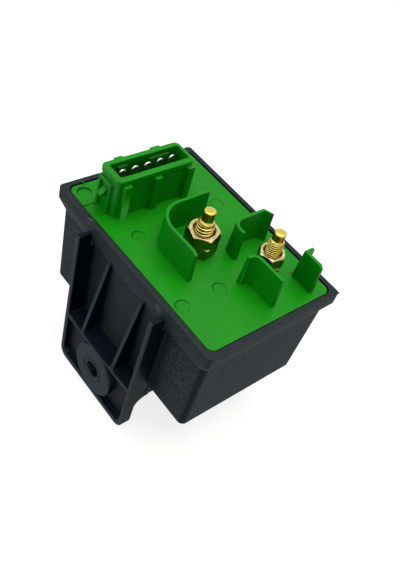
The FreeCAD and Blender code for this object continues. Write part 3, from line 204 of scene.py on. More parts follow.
class Finish:
    """One material: its Principled shader and the nodes that feed it."""

    def __init__(self, name, colour, roughness, metallic=0.0, **constants):
        self.material = bpy.data.materials.new(name)
        self.material.use_nodes = True
        self.tree = self.material.node_tree
        self.shader = self.tree.nodes["Principled BSDF"]
        self.shader.inputs["Base Color"].default_value = (*colour, 1.0)
        self.shader.inputs["Roughness"].default_value = roughness
        self.shader.inputs["Metallic"].default_value = metallic
        for socket, value in constants.items():
            self.shader.inputs[socket.replace("_", " ")].default_value = value
        self.place = self.tree.nodes.new("ShaderNodeTexCoord").outputs["Object"]

    def feed(self, socket, value):
        """Sets a socket to a number or colour, or links it."""
        if isinstance(value, Shade):
            value = value.socket
        if isinstance(value, bpy.types.NodeSocket):
            self.tree.links.new(value, socket)
        else:
            socket.default_value = value

    def node(self, kind, settings=None, inputs=None):
        """A node of any other kind: its settings are made first, then its sockets are fed."""
        item = self.tree.nodes.new("ShaderNode" + kind)
        for name, value in (settings or {}).items():
            setattr(item, name, value)
        for name, value in (inputs or {}).items():
            self.feed(item.inputs[name], value)
        return item

    def noise(self, size, detail=3.0, roughness=0.55):
        """Fractal noise from 0 to 1 whose blotches are about `size` across."""
        item = self.node("TexNoise", None, {
            "Vector": self.place, "Scale": 1.0 / size, "Detail": detail, "Roughness": roughness})
        return Shade(self, item.outputs["Fac"])

    def cells(self, size):
        """Distance to the nearest of the points scattered about `size` apart, from 0 to about 1."""
        item = self.node("TexVoronoi", None, {"Vector": self.place, "Scale": 1.0 / size})
        return Shade(self, item.outputs["Distance"])

    def mix(self, factor, first, second):
        """Colour between two colours."""
        item = self.tree.nodes.new("ShaderNodeMix")
        item.data_type = "RGBA"
        self.feed(item.inputs["Factor"], factor)
        for name, colour in (("A", first), ("B", second)):
            socket = [one for one in item.inputs if one.name == name and one.type == "RGBA"][0]
            self.feed(socket, (*colour, 1.0) if isinstance(colour, tuple) else colour)
        return [one for one in item.outputs if one.type == "RGBA"][0]

    def along(self, axis):
        """The place's coordinate along X, Y or Z."""
        return Shade(self, self.node("SeparateXYZ", None, {"Vector": self.place}).outputs[axis])

    def facing(self, axis):
        """The part of the surface's own direction along X, Y or Z: 1 or -1 on faces square to it."""
        normal = self.place.node.outputs["Normal"]
        return Shade(self, self.node("SeparateXYZ", None, {"Vector": normal}).outputs[axis])

    def reach(self, x, y):
        """Distance in millimetres from the upright axis through (x, y)."""
        across = self.along("X") * (1 / MM) - x
        depth = self.along("Y") * (1 / MM) - y
        return (across * across + depth * depth) ** 0.5

    def beyond(self, half_x, half_y, corner):
        """Signed distance in millimetres outside a rounded rectangle about the cover's middle.

        It is the length of the part of the offset past the corner's centre, with the inside taken as the
        larger of the two offsets, less the corner's radius.
        """
        across = self.along("X") * (1 / MM)
        depth = self.along("Y") * (1 / MM) - MIDDLE_Y
        past_x = across.size() - (half_x - corner)
        past_y = depth.size() - (half_y - corner)
        outer_x = past_x.math("MAXIMUM", past_x, 0.0)
        outer_y = past_y.math("MAXIMUM", past_y, 0.0)
        inner = past_x.math("MAXIMUM", past_x, past_y)
        inner = inner.math("MINIMUM", inner, 0.0)
        return (outer_x * outer_x + outer_y * outer_y) ** 0.5 + inner - corner

    def paint(self, socket, value):
        """Feeds one of the shader's own sockets."""
        self.feed(self.shader.inputs[socket], value)

    def relief(self, height, depth):
        """Bump of the height value, `depth` metres from 0 to 1."""
        inputs = {"Height": height, "Distance": depth, "Strength": 1.0}
        self.paint("Normal", self.node("Bump", None, inputs).outputs[0])


def tint(colour, factor):
    """The colour made lighter or darker by a factor."""
    return tuple(min(1.0, channel * factor) for channel in colour)


def black_moulding():
    """Glass-filled black plastic: spark-eroded grain on the walls, smoother rim and foot pockets.

    Painted shade darkens the tub's rounded corners, the wall beside the foot, the gap at the rim's inner
    edge and the foot's pockets, less on their upward faces. Painted highlights pale the front faces of the
    boss and ribs, the rim's lower edge in patches, a thin line where the foot meets the tub's wall, and
    upward-tilted bevels in patches that also stand for wear; two places on the rim are scuffed.
    """
    base = (0.0240, 0.0330, 0.0385)
    finish = Finish("black_moulding", base, 0.5, Specular_IOR_Level=0.035)
    across = finish.along("X") * (1 / MM)
    depth = finish.along("Y") * (1 / MM)
    height = finish.along("Z") * (1 / MM)
    tilt = finish.facing("Z")
    rim = height.above(RIM_UNDER + 0.4, 0.5)
    foot = 1.0 - across.size().above(FOOT_HALF, 0.1)
    shaded_pockets = depth.above(0.8, 0.12) * (1.0 - depth.above(TUB_FACE, 0.1)) * foot
    shaded_pockets = shaded_pockets * (1.0 - depth.above(PLATE_FACE, 0.1) * height.above(RIM_UNDER, 0.1))
    # the ribs' faces towards -Y above the shelf leave the pockets' painted shade for the painted highlight
    edges = (0.0 - finish.facing("Y")).above(0.6, 0.2) * height.above(SHELF_TOP, 0.2) * shaded_pockets
    shaded_pockets = shaded_pockets - edges
    front_highlight = 1.0 - depth.above(0.65, 0.15) + edges
    turned = finish.facing("X") * finish.facing("Y")
    corner = turned.size().above(0.3, 0.16) * depth.above(TUB_FACE + 0.05, 0.1) * (1.0 - rim)
    bloom = finish.noise(9 * MM, 4.0)
    spark = finish.noise(0.6 * MM, 3.0, 0.7)
    fine = finish.noise(0.17 * MM, 2.0)
    specks = finish.cells(2.6 * MM)
    grain = spark * (1.0 - rim * 0.5) * (1.0 - shaded_pockets * 0.8)
    colour = finish.mix(bloom.above(0.5, 0.25), tint(base, 0.86), tint(base, 1.2))
    quiet = foot * (1.0 - depth.above(9.0, 0.2)) * 0.6
    colour = finish.mix((1.0 - spark.above(0.46, 0.08)) * (1.0 - quiet), colour, tint(base, 0.5))
    colour = finish.mix(spark.above(0.57, 0.07) * (0.75 - quiet), colour, tint(base, 2.7))
    colour = finish.mix(rim * 0.6, colour, (0.0300, 0.0385, 0.0400))
    # painted shade on the tub's rounded upright corners below the rim
    colour = finish.mix(corner * 0.75, colour, tint(base, 0.3))
    # painted shade on the tub's wall beside the foot's +X side, fading out over about 4 mm
    nook_shade = across.above(FOOT_HALF - 0.2, 0.1) * (1.0 - across.above(FOOT_HALF + 2.0, 2.2))
    nook_shade = nook_shade * (1.0 - depth.above(8.3, 0.2))
    colour = finish.mix(nook_shade * (1.0 - rim) * 0.75, colour, tint(base, 0.3))
    # painted highlight on the front faces of the boss and ribs, towards -Y
    colour = finish.mix(front_highlight * 0.8, colour, tint(base, 1.75))
    # painted shade in the foot's pockets, lighter on their upward faces where light from above falls
    colour = finish.mix(shaded_pockets * 0.92, colour, (0.0002, 0.0022, 0.0085))
    colour = finish.mix(shaded_pockets * tilt.above(0.5, 0.2), colour, (0.0068, 0.0112, 0.0205))
    speck = 1.0 - specks.above(0.05, 0.02)
    colour = finish.mix(speck * 0.25, colour, (0.12, 0.13, 0.14))
    # painted highlight on upward-tilted bevels and slopes, in patches that also stand for wear
    sheen_and_wear = tilt.above(0.3, 0.15) * (1.0 - tilt.above(0.92, 0.05)) * bloom.above(0.42, 0.15)
    colour = finish.mix(sheen_and_wear * 0.4, colour, tint(base, 2.6))
    # painted highlight along the rim's lower edge, in patches
    highlight_and_scuffs = 1.0 - (height - RIM_UNDER).size().above(0.18, 0.06)
    highlight_and_scuffs = highlight_and_scuffs * bloom.above(0.38, 0.1) * depth.above(TUB_FACE, 0.1)
    # painted highlight: a thin line on the tub's wall where the foot's +X side meets it
    beside = across - (FOOT_HALF + 0.15)
    joint_highlight = (1.0 - (beside * beside).above(0.012, 0.008)) * depth.above(TUB_FACE - 0.05, 0.1)
    highlight_and_scuffs = joint_highlight * (1.0 - depth.above(8.3, 0.2)) * 0.5 + highlight_and_scuffs
    # scuffs at two places on the rim, mixed in with the painted highlights
    for x, y, z in SCUFFS:
        near = (finish.reach(x, y) ** 2 + (height - z) * (height - z)) ** 0.5
        highlight_and_scuffs = (1.0 - near.above(1.4, 0.5)) * spark.above(0.53, 0.03) + highlight_and_scuffs
    colour = finish.mix(highlight_and_scuffs * 0.8, colour, (0.12, 0.145, 0.16))
    # painted shadow along the rim's inner edge, in the gap beside the cover
    gap_shadow = (1.0 - finish.beyond(*LEDGE).above(0.22, 0.12)) * height.above(RIM_TOP - 1.5, 0.2)
    colour = finish.mix(gap_shadow * 0.85, colour, (0.001, 0.002, 0.002))
    finish.paint("Base Color", colour)
    finish.paint("Roughness", 0.44 + grain * 0.16 + bloom * 0.08 - shaded_pockets * 0.1)
    finish.relief(grain * 0.75 + fine * 0.25, 0.085 * MM)
    return finish.material


def green_moulding():
    """Bright green plastic: satin, with slight flow mottling, a fine skin and deeper-coloured ejector marks.

    Painted shade darkens the far wall of each mark, the upright walls and the inside of the socket, and
    painted highlights pale the near lip of each mark and the plate's border.
    """
    base = (0.0045, 0.262, 0.0025)
    finish = Finish("green_moulding", base, 0.36, Specular_IOR_Level=0.18)
    across = finish.along("X") * (1 / MM)
    depth = finish.along("Y") * (1 / MM)
    height = finish.along("Z") * (1 / MM)
    flow = finish.noise(16 * MM, 3.0)
    cloud = finish.noise(3.2 * MM, 3.0)
    skin = finish.noise(0.5 * MM, 2.0)
    specks = finish.cells(4.5 * MM)
    sunk, wall, lip_highlight = 0.0, 0.0, 0.0
    for x, y, radius, tone in MARKS:
        reach = finish.reach(x, y)
        side = (x - across) / radius
        sunk = (1.0 - reach.above(radius - 0.05, 0.06)) * (side.above(-0.1, 0.9) * 0.6 + 0.4) * tone + sunk
        outside = reach.above(radius + 0.04, 0.05)
        ring = reach.above(radius - 0.42, 0.22) * (1.0 - outside)
        wall = ring * side.above(0.15, 0.5) * tone + wall
        lip_highlight = outside * (1.0 - reach.above(radius + 0.3, 0.12)) * (0.0 - side).above(0.2, 0.6) * tone + lip_highlight
    middle_x, middle_y, half_x, half_y, top = MOUTH
    mouth_shade = 1.0 - (across - middle_x).size().above(half_x, 0.1)
    mouth_shade = mouth_shade * (1.0 - (depth - middle_y).size().above(half_y, 0.1)) * (1.0 - height.above(top, 0.6))
    colour = finish.mix(flow.above(0.5, 0.22), tint(base, 0.93), tint(base, 1.08))
    colour = finish.mix(cloud.above(0.55, 0.2) * 0.35, colour, tint(base, 1.18))
    # painted shade on the upright walls, darker than the upward faces
    upright_shade = 1.0 - finish.facing("Z").above(0.5, 0.3)
    colour = finish.mix(upright_shade * 0.9, colour, (0.0, 0.216, 0.0025))
    colour = finish.mix(sunk, colour, (0.0, 0.258, 0.0))
    # painted shade on the far (-X) wall of each mark
    colour = finish.mix(wall * 0.9, colour, tint(base, 0.28))
    # painted highlight on the near (+X) lip of each mark
    colour = finish.mix(lip_highlight * 0.5, colour, (0.045, 0.38, 0.035))
    # painted shade inside the socket
    colour = finish.mix(mouth_shade * 0.8, colour, tint(base, 0.5))
    # painted highlight along the cover plate's border
    border_highlight = finish.beyond(*LEDGE).above(-0.5, 0.2) * height.above(COVER_TOP - 0.4, 0.1)
    colour = finish.mix(border_highlight * 0.6, colour, (0.045, 0.42, 0.035))
    colour = finish.mix((1.0 - specks.above(0.035, 0.012)) * 0.3, colour, (0.12, 0.5, 0.13))
    finish.paint("Base Color", colour)
    finish.paint("Roughness", 0.32 + cloud * 0.1 + skin * 0.06)
    finish.relief(cloud * 0.6 + skin * 0.4, 0.035 * MM)
    return finish.material


def metal(name, base, roughness, mottle, grain_size, depth):
    """Metal with mottled colour, patchy gloss and a fine grain of the given size and depth."""
    finish = Finish(name, base, roughness, 1.0)
    blotch = finish.noise(2.2 * MM, 4.0)
    grain = finish.noise(grain_size, 2.0, 0.6)
    colour = finish.mix(blotch.above(0.5, 0.2), tint(base, 1.0 - mottle), tint(base, 1.0 + mottle))
    finish.paint("Base Color", colour)
    finish.paint("Roughness", roughness * 0.75 + blotch * roughness * 0.35 + grain * roughness * 0.2)
    finish.relief(grain, depth)
    return finish.material


def stud_brass():
    """Turned yellow brass: satin, mottled, bright on the thread's crests, with painted shade in its roots.

    The thread is made a little darker by its share of shade, and painted shade darkens its +X+Y side, away
    from the foot, more; above the thread, faces that don't look up are painted dark brown as painted shade.

    A root is where the place lies within the thread's height and less than the crest's radius from its axis.
    """
    base = (0.60, 0.49, 0.11)
    finish = Finish("stud_brass", base, 0.3, 1.0)
    height = finish.along("Z") * (1 / MM)
    blotch = finish.noise(2.2 * MM, 4.0)
    grain = finish.noise(0.5 * MM, 2.0, 0.6)
    root_shade, thread, thread_shade = 0.0, 0.0, 0.0
    for facts in STUDS.values():
        reach = finish.reach(facts["x"], facts["y"])
        deep = THREAD_DEPTH * facts["pitch"]
        held = (1.0 - reach.above(4.5, 0.1)) * (1.0 - height.above(RIM_TOP + facts["thread"] + 0.1, 0.1))
        root_shade = (1.0 - reach.above(facts["radius"] - 0.33 * deep, 0.25 * deep)) * held + root_shade
        thread = held + thread
        thread_shade = held * facts["thread_shade"] + thread_shade
    colour = finish.mix(blotch.above(0.5, 0.2), tint(base, 0.88), tint(base, 1.12))
    # painted shade: faces that don't look up are dark brown, the top keeps the mottled brass
    colour = finish.mix(finish.facing("Z").above(0.3, 0.3), (0.42, 0.25, 0.030), colour)
    colour = finish.mix(thread, colour, (0.84, 0.68, 0.19))
    # painted shade on the thread's +X+Y side; the whole thread is also made a little darker by its share
    side = (finish.facing("X") + finish.facing("Y")).above(0.1, 0.7) * thread_shade
    colour = finish.mix(thread_shade * 0.35, colour, tint(base, 0.75))
    colour = finish.mix(side, colour, (0.34, 0.22, 0.035))
    # painted shade in the thread's roots, weaker where the side is shaded
    colour = finish.mix(root_shade * (0.97 - side * 0.45), colour, (0.035, 0.021, 0.002))
    finish.paint("Base Color", colour)
    finish.paint("Roughness", 0.22 + blotch * 0.08 + grain * 0.04)
    finish.relief(grain, 0.003 * MM)
    return finish.material


def nut_brass():
    """Milled brass: tan mottling on the top face, darker brown in the sunk bore.

    The upright sides are painted dark olive as painted shade.
    """
    base = (0.56, 0.47, 0.22)
    finish = Finish("nut_brass", base, 0.26, 1.0)
    blotch = finish.noise(2.0 * MM, 4.0)
    grain = finish.noise(0.4 * MM, 2.0, 0.6)
    bore = 0.0
    for facts in STUDS.values():
        bore = (1.0 - finish.reach(facts["x"], facts["y"]).above(facts["sink"] + 0.1, 0.12)) + bore
    colour = finish.mix(blotch.above(0.5, 0.12), (0.52, 0.42, 0.17), (0.68, 0.64, 0.34))
    colour = finish.mix(bore * 0.9, colour, (0.26, 0.13, 0.016))
    # painted shade: faces that don't look up are dark olive
    colour = finish.mix(finish.facing("Z").above(0.3, 0.3), (0.21, 0.17, 0.03), colour)
    finish.paint("Base Color", colour)
    finish.paint("Roughness", 0.2 + blotch * 0.1 + grain * 0.05)
    finish.relief(grain, 0.006 * MM)
    return finish.material


def inner_plastic(name, base, roughness):
    """Plain moulded plastic of the hidden pieces, with a fine skin."""
    finish = Finish(name, base, roughness)
    cloud = finish.noise(3 * MM)
    finish.paint("Base Color", finish.mix(cloud, tint(base, 0.88), tint(base, 1.12)))
    finish.paint("Roughness", roughness - 0.05 + cloud * 0.1)
    finish.relief(finish.noise(0.3 * MM), 0.02 * MM)
    return finish.material


def winding():
    """Enamelled wire laid in turns: rings along the coil's height, painted shade in the grooves between them.
    """
    base = (0.36, 0.12, 0.045)
    finish = Finish("winding_copper", base, 0.3, 0.8)
    phase = finish.along("Z") * (2 * math.pi / (WIRE * MM))
    wave = phase.math("SINE", phase) * 0.5 + 0.5
    # painted shade and highlight: darker in the grooves between turns, lighter on their crests
    finish.paint("Base Color", finish.mix(wave, tint(base, 0.6), tint(base, 1.15)))
    finish.relief(wave, 0.1 * MM)
    return finish.material


def make_finishes():
    """Every material slot's finish by its name in the record; each node gets its own."""
    finishes = {
        "black_moulding": black_moulding(),
        "green_moulding": green_moulding(),
        "tinned_contact": metal("tinned_contact", (0.70, 0.69, 0.65), 0.28, 0.06, 0.3 * MM, 0.006 * MM),
        "stud_brass": stud_brass(),
        "nut_brass": nut_brass(),
        "copper": metal("copper", (0.80, 0.42, 0.26), 0.33, 0.08, 0.5 * MM, 0.01 * MM),
        "contact_silver": metal("contact_silver", (0.80, 0.79, 0.76), 0.25, 0.05, 0.3 * MM, 0.006 * MM),
        "relay_iron": metal("relay_iron", (0.56, 0.57, 0.58), 0.38, 0.08, 0.6 * MM, 0.012 * MM),
        "screw_steel": metal("screw_steel", (0.62, 0.62, 0.62), 0.3, 0.06, 0.4 * MM, 0.01 * MM),
        "winding_copper": winding(),
        "carrier_plastic": inner_plastic("carrier_plastic", (0.72, 0.68, 0.58), 0.5),
        "lead_sleeve": inner_plastic("lead_sleeve", (0.30, 0.015, 0.012), 0.4),
        "board_laminate": inner_plastic("board_laminate", (0.03, 0.10, 0.045), 0.42),
        "component_black": inner_plastic("component_black", (0.02, 0.02, 0.022), 0.5),
        "capacitor_sleeve": inner_plastic("capacitor_sleeve", (0.02, 0.025, 0.05), 0.25),
    }
    for entry in frame["record"]["subparts"]:
        mesh = frame["nodes"][entry["node"]].data
        mesh.materials.clear()
        mesh.materials.append(finishes[entry["material_slot"]])
    return finishes


def shade_smooth(mesh, limit=None):
    """Smooth shading, with edges sharper than the limit kept crisp."""
    mesh.shade_smooth()
    if limit:
        mesh.set_sharp_from_angle(angle=math.radians(limit))


def settle(piece, node, slot):
    """Makes the piece stand for a node: same body, same slot and its finish."""
    piece.data.materials.clear()
    piece.data.materials.append(finishes[slot])
    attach(piece, frame["nodes"][node]["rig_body"])
    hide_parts(node)
    return piece


def make_object(name, mesh):
    """Object at the origin that shows the mesh."""
    piece = bpy.data.objects.new(name, mesh)
    bpy.context.scene.collection.objects.link(piece)
    return piece


def weigh_edges(shell, level):
    """Bevel weights: 0 on flat joints and on the crease where walls stand on the level, 1 on other edges."""
    layer = shell.edges.layers.float.new("bevel_weight_edge")
    for edge in shell.edges:
        if len(edge.link_faces) != 2:
            continue
        bend = edge.calc_face_angle_signed()
        off = max(abs(vertex.co.z / MM - level) for vertex in edge.verts)
        edge[layer] = 0.0 if abs(bend) < math.radians(30) or (bend < 0 and off < 0.02) else 1.0


def rounded_copy(node, name, rounding, slot, level=None, joined=True):
    """Copy of a solid, its flat facets joined and its edges of over 30 degrees rounded by a two-step bevel.

    With a level given, the creases at that height stay sharp.
    """
    mesh = frame["nodes"][node].data.copy()
    shell = bmesh.new()
    shell.from_mesh(mesh)
    bmesh.ops.remove_doubles(shell, verts=shell.verts, dist=0.0005 * MM)
    if joined:
        bmesh.ops.dissolve_limit(shell, angle_limit=math.radians(0.6), verts=shell.verts, edges=shell.edges)
    if level:
        weigh_edges(shell, level)
    shell.to_mesh(mesh)
    shell.free()
    piece = make_object(name, mesh)
    bevel = piece.modifiers.new("rounding", "BEVEL")
    bevel.width = rounding * MM
    bevel.segments = 2
    bevel.limit_method = "WEIGHT" if level else "ANGLE"
    bevel.angle_limit = math.radians(30)
    bevel.use_clamp_overlap = False
    piece.modifiers.new("even_faces", "WEIGHTED_NORMAL").keep_sharp = True
    shade_smooth(mesh, 30)
    return settle(piece, node, slot)


def grid_surface(name, points):
    """Mesh over points (rows, columns, 3) whose columns close round, with poles and seams merged."""
    rows, columns = points.shape[:2]
    index = np.arange(rows * columns).reshape(rows, columns)
    ahead = np.roll(index, -1, axis=1)
    quads = np.stack([index[:-1], ahead[:-1], ahead[1:], index[1:]], axis=-1).reshape(-1, 4)
    mesh = bpy.data.meshes.new(name)
    mesh.from_pydata(points.reshape(-1, 3).tolist(), [], quads.tolist())
    shell = bmesh.new()
    shell.from_mesh(mesh)
    bmesh.ops.remove_doubles(shell, verts=shell.verts, dist=0.0002 * MM)
    shell.to_mesh(mesh)
    shell.free()
    return make_object(name, mesh)


def tooth(phase):
    """Thread tooth over its phase in turns: a raised cosine, 0 at the crest and 1 at the root."""
    return 0.5 + 0.5 * np.cos(2 * math.pi * phase)


def turned_points(x, y, radius, height):
    """Points at `radius` round the axis through (x, y), at `height`; both are (rows, columns) arrays."""
    angle = np.linspace(0, 2 * math.pi, AROUND, endpoint=False)[None, :]
    across = x + radius * np.cos(angle)
    along = y + radius * np.sin(angle)
    return np.stack([across, along, height + 0 * radius], axis=-1) * MM


def make_stud(stud, facts):
    """Turned stud: radius over height and angle.

    In the thread the radius is the outer radius less the depth times the tooth, whose phase is the height
    in pitches less the angle in turns. Above it a cone leads to the plain tip, which ends in a bevel.
    """
    radius, pitch, tip = facts["radius"], facts["pitch"], facts["tip"]
    start = NUT_LEVELS["lock"][0] - 2.3
    shoulder = facts["thread"]
    lead = shoulder - 0.35 * pitch
    levels = np.concatenate([
        [start], np.arange(start, shoulder, pitch / 16),
        shoulder + CONE * np.linspace(0, 1, 8),
        np.linspace(shoulder + CONE, facts["top"] - TIP_BEVEL, 6)[1:],
        facts["top"] - TIP_BEVEL * (1 - np.sin(np.linspace(0, math.pi / 2, 7)))[1:],
        [facts["top"], facts["top"]]])
    height = levels[:, None] + np.zeros((1, AROUND))
    turn = np.arange(AROUND)[None, :] / AROUND
    cut = tooth(height / pitch - turn) * THREAD_DEPTH * pitch
    outer = radius - cut * (height < shoulder)
    cone = tip + (radius - tip) * np.clip((shoulder + CONE - height) / (shoulder + CONE - lead), 0, 1)
    neck = np.clip((facts["top"] - 0.9 - height) / 0.4, 0, 1) * np.clip((height - shoulder) / CONE, 0, 1)
    body = np.minimum(outer, cone - WAIST * neck)
    beyond = np.clip((height - facts["top"] + TIP_BEVEL) / TIP_BEVEL, 0, 1)
    body = body - TIP_BEVEL * (1 - np.sqrt(1 - beyond ** 2))
    body[0] = 0
    body[-2] = (tip - TIP_BEVEL) * 0.5
    body[-1] = 0
    piece = grid_surface(stud + "_stud_turned", turned_points(facts["x"], facts["y"], body, RIM_TOP + height))
    shade_smooth(piece.data, 50)
    return settle(piece, stud + "_stud", "stud_brass")


def hexagon_reach(turn, across):
    """Distance from the axis to a hexagon with soft corners: a high-order mean over its six flats."""
    angle = np.linspace(0, 2 * math.pi, AROUND, endpoint=False)[None, :] - math.radians(turn)
    flats = np.stack([np.maximum(np.cos(angle - math.radians(60 * side + 30)), 0) for side in range(6)])
    order = 90
    return across / 2 / (flats ** order).sum(axis=0) ** (1 / order)


def make_nut(stud, nut, facts):
    """Hexagon nut: its section runs up the bevelled side, in over the top, down the bore and out below.

    The side's radius is the smallest of the hexagon's reach and of a flat cone at either end, with the
    meetings softened: minus the log of the sum of the exponentials of minus each.
    """
    low, high = NUT_LEVELS[nut]
    reach = hexagon_reach(facts[nut + "_turn"], facts["across"])
    steps = (1 - np.cos(np.linspace(0, math.pi, 40))) / 2
    side = low + (high - low) * steps[:, None]
    under, over = (facts["across"] / 2 * share for share in NUT_FACES[nut])
    soft = 0.05
    outer = np.exp(-reach / soft)
    outer = outer + np.exp(-(under + (side - low) / math.tan(NUT_BEVEL)) / soft)
    outer = outer + np.exp(-(over + (high - side) / math.tan(NUT_BEVEL)) / soft)
    outer = -soft * np.log(outer)
    bore = facts["radius"] - 0.12
    rim = facts["sink"]
    inward = np.linspace(0, 1, 5)[1:, None]
    top = outer[-1:] + (rim - outer[-1:]) * inward
    sink = rim + (bore - rim) * inward + 0 * reach
    sink_height = high - (rim - bore) * inward
    down = np.linspace(high - (rim - bore), low, 24)[1:, None]
    out = bore + (outer[:1] - bore) * inward
    radius = np.concatenate([outer, top, sink, bore + 0 * down + 0 * reach, out])
    height = np.concatenate([side + 0 * reach, high + 0 * top, sink_height + 0 * reach, down + 0 * reach,
                             low + 0 * out])
    label = stud + ("_lock_nut" if nut == "lock" else "_nut")
    piece = grid_surface(label + "_milled", turned_points(facts["x"], facts["y"], radius, RIM_TOP + height))
    shade_smooth(piece.data, 28)
    return settle(piece, label, "nut_brass")


def node_disc(node):
    """Axis, radius, bottom and top of an upright round solid, in millimetres."""
    low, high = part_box(node)
    return ((low.x + high.x) / 2 / MM, (low.y + high.y) / 2 / MM, (high.x - low.x) / 2 / MM,
            low.z / MM, high.z / MM)


def turned_piece(name, x, y, radius, height):
    """Closed turning: one radius for each height, both arrays that start and end on the axis."""
    return grid_surface(name, turned_points(x, y, radius[:, None] + np.zeros((1, AROUND)),
                                            height[:, None] + np.zeros((1, AROUND))))


def make_can(node, slot):
    """Electrolytic can that hangs from the board: a sunk lid, a round shoulder, a straight wall and a crimp.

    The radius over the height is the wall's, less a bell-shaped crimp near the board and less a quarter
    circle at the free end, which the lid lies a little inside of.
    """
    x, y, radius, low, high = node_disc(node)
    turn = np.linspace(0, math.pi / 2, 9)
    soft = 0.5
    wall = np.linspace(low + soft, high - 0.15, 70)
    crimp = 0.35 * np.exp(-((wall - high + 1.5) / 0.35) ** 2)
    lid = np.array([0.0, radius - 1.2, radius - 0.9])
    rise = np.array([low + 0.25, low + 0.25, low + 0.05])
    shoulder = radius - soft + soft * np.sin(turn)
    shoulder_rise = low + soft - soft * np.cos(turn)
    radii = np.concatenate([lid, shoulder, (radius - crimp)[1:], [radius - 0.15, 0.0]])
    rises = np.concatenate([rise, shoulder_rise, wall[1:], [high, high]])
    piece = turned_piece(node + "_can", x, y, radii, rises)
    shade_smooth(piece.data, 40)
    return settle(piece, node, slot)


def make_winding(node, slot):
    """Layer-wound coil: a hollow turning whose outside is a row of round wires laid side by side."""
    x, y, radius, low, high = node_disc(node)
    wires = round((high - low) / WIRE)
    phase = np.linspace(0, wires, wires * 8 + 1)
    outside = radius - WIRE / 2 + WIRE / 2 * np.sqrt(np.clip(1 - (2 * (phase % 1) - 1) ** 2, 0, 1))
    height = low + (high - low) * phase / wires
    radii = np.concatenate([[COIL_HOLLOW], outside, [COIL_HOLLOW, COIL_HOLLOW]])
    rises = np.concatenate([[low], height, [high, low]])
    piece = turned_piece(node + "_wires", x, y, radii, rises)
    shade_smooth(piece.data, 50)
    return settle(piece, node, slot)


def tapered_spur(name, path, wide, thick, across, slot):
    """Thin flake of flash: an ellipse carried along a path, whose half-axes shrink to nothing at the tip.

    At the share u of the path the half-axes are wide * (1 - u) ** 0.8 along `across` and
    thick * (1 - u) ** 0.5 along the height; both ends are closed.
    """
    path = np.array(path)
    share = np.linspace(0, 1, len(path))[:, None]
    angle = np.linspace(0, 2 * math.pi, 24, endpoint=False)[None, :]
    side = wide * (1 - share) ** 0.8 * np.cos(angle)
    rise = thick * (1 - share) ** 0.5 * np.sin(angle)
    upward = np.array((0.0, 0.0, 1.0))
    points = path[:, None, :] + side[..., None] * np.array(across) + rise[..., None] * upward
    points = np.concatenate([np.broadcast_to(path[:1, None, :], (1, 24, 3)), points])
    piece = grid_surface(name, points * MM)
    face_outward(piece.data)
    shade_smooth(piece.data, 60)
    piece.data.materials.append(finishes[slot])
    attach(piece, "relay")
    return piece


def face_outward(mesh):
    """Turns every face outwards."""
    shell = bmesh.new()
    shell.from_mesh(mesh)
    bmesh.ops.recalc_face_normals(shell, faces=shell.faces)
    shell.to_mesh(mesh)
    shell.free()


def make_flash():
    """A spur of flash at the rim's right corner and a whisker at the cover's gate."""
    share = np.linspace(0, 1, 14)[:, None]
    edge = np.array((40.0, 61.1))
    start = edge - RIM_CORNER + 0.6
    flat = start + (edge - 0.03 - start) * share
    rise = RIM_TOP - 0.42 + 0.3 * share ** 2
    aside = np.array((1.0, -1.0, 0.0)) / math.sqrt(2)
    tapered_spur("rim_flash", np.hstack([flat, rise]), 0.9, 0.3, aside, "black_moulding")
    bend = np.hstack([-36.9 - 1.6 * share, 13.8 - 1.6 * share + 0.9 * share * (1 - share),
                      COVER_TOP - 0.1 + 1.6 * share])
    tapered_spur("gate_whisker", bend, 0.24, 0.24, (0.0, 1.0, 0.0), "green_moulding")


def area_light(name, place, aim, size, power, colour=(1.0, 1.0, 1.0)):
    """Soft rectangular lamp at a place, turned to its aim."""
    lamp = bpy.data.lights.new(name, "AREA")
    lamp.shape = "RECTANGLE"
    lamp.size, lamp.size_y = size
    lamp.energy = power
    lamp.color = colour
    item = bpy.data.objects.new(name, lamp)
    item.location = place
    item.rotation_mode = "QUATERNION"
    item.rotation_quaternion = (Vector(aim) - Vector(place)).to_track_quat("-Z", "Y")
    bpy.context.scene.collection.objects.link(item)
    return item


def seen_directly(tree):
    """1 for what the camera sees straight, in a gloss or through a clear piece, else 0."""
    path = tree.nodes.new("ShaderNodeLightPath")
    total = path.outputs["Is Camera Ray"]
    for name in ("Is Glossy Ray", "Is Transmission Ray"):
        both = tree.nodes.new("ShaderNodeMath")
        both.operation = "MAXIMUM"
        tree.links.new(total, both.inputs[0])
        tree.links.new(path.outputs[name], both.inputs[1])
        total = both.outputs[0]
    return total


def make_world(ambient):
    """White where it is seen, and a plain soft grey as light."""
    world = bpy.data.worlds.new("studio")
    bpy.context.scene.world = world
    world.use_nodes = True
    tree = world.node_tree
    seen = seen_directly(tree)
    glow = tree.nodes["Background"]
    mix = tree.nodes.new("ShaderNodeMix")
    mix.data_type = "FLOAT"
    tree.links.new(seen, mix.inputs["Factor"])
    mix.inputs["A"].default_value = ambient
    mix.inputs["B"].default_value = 1.0
    tree.links.new(mix.outputs["Result"], glow.inputs["Strength"])
    glow.inputs["Color"].default_value = (1, 1, 1, 1)


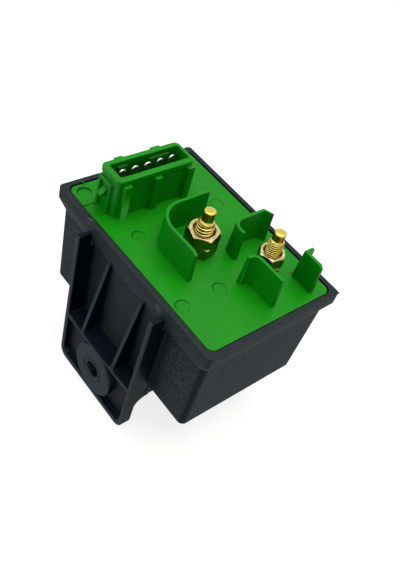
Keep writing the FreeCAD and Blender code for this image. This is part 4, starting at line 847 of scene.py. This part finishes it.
def make_floor(level):
    """Wide pale floor: white where it is seen, darkened only by the object's shadow near the middle."""
    half = 3.0
    mesh = bpy.data.meshes.new("floor")
    mesh.from_pydata([(-half, -half, level), (half, -half, level), (half, half, level), (-half, half, level)],
                     [], [(0, 1, 2, 3)])
    floor = make_object("floor", mesh)
    finish = Finish("floor_paper", (0.4, 0.4, 0.4), 0.9, Specular_IOR_Level=0.0)
    far = (finish.reach(0.0, 33.0) * MM).above(0.5, 0.35)
    finish.paint("Emission Color", finish.mix(far, (0.79, 0.79, 0.79), (1.0, 1.0, 1.0)))
    finish.paint("Emission Strength", seen_directly(finish.tree))
    mesh.materials.append(finish.material)


def make_camera():
    """Camera at the photograph's place, angle and roll."""
    data = bpy.data.cameras.new("camera")
    data.lens = LENS
    data.clip_start, data.clip_end = 0.01, 20
    camera = bpy.data.objects.new("camera", data)
    turn = (AIM - EYE).to_track_quat("-Z", "Y").to_matrix() @ Matrix.Rotation(ROLL, 3, "Z")
    camera.matrix_world = Matrix.Translation(EYE) @ turn.to_4x4()
    bpy.context.scene.collection.objects.link(camera)
    bpy.context.scene.camera = camera


def make_light():
    """Overhead softbox, a weaker one beside the camera and a low one before the foot."""
    centre = (0.0, 0.03, 0.03)
    area_light("overhead", (0.02, 0.12, 0.75), centre, (0.7, 0.7), 4.6, (1.0, 0.975, 0.91))
    area_light("camera_side", (0.55, -0.55, 0.45), centre, (0.5, 0.5), 0.5)
    area_light("front_side", (-0.3, -0.6, 0.25), centre, (0.6, 0.4), 1.25)


finishes = make_finishes()
make_camera()
make_world(0.24)
make_floor(cad_box[0].z)
make_light()
rounded_copy("housing", "tub_moulding", ROUNDING["housing"], "black_moulding", joined=False)
rounded_copy("cover", "cover_moulding", ROUNDING["cover"], "green_moulding", COVER_TOP)
for number in range(1, 6):
    rounded_copy("blade_%d" % number, "blade_strip_%d" % number, ROUNDING["blade"], "tinned_contact")
for stud, facts in STUDS.items():
    make_stud(stud, facts)
    for nut in NUT_LEVELS:
        make_nut(stud, nut, facts)
slots = {entry["node"]: entry["material_slot"] for entry in frame["record"]["subparts"]}
for node, rounding in EASED.items():
    rounded_copy(node, node + "_eased", rounding, slots[node])
for node in ("capacitor_1", "capacitor_2"):
    make_can(node, slots[node])
make_winding("coil_winding", slots["coil_winding"])
make_flash()

bpy.context.scene.view_settings.view_transform = "Standard"
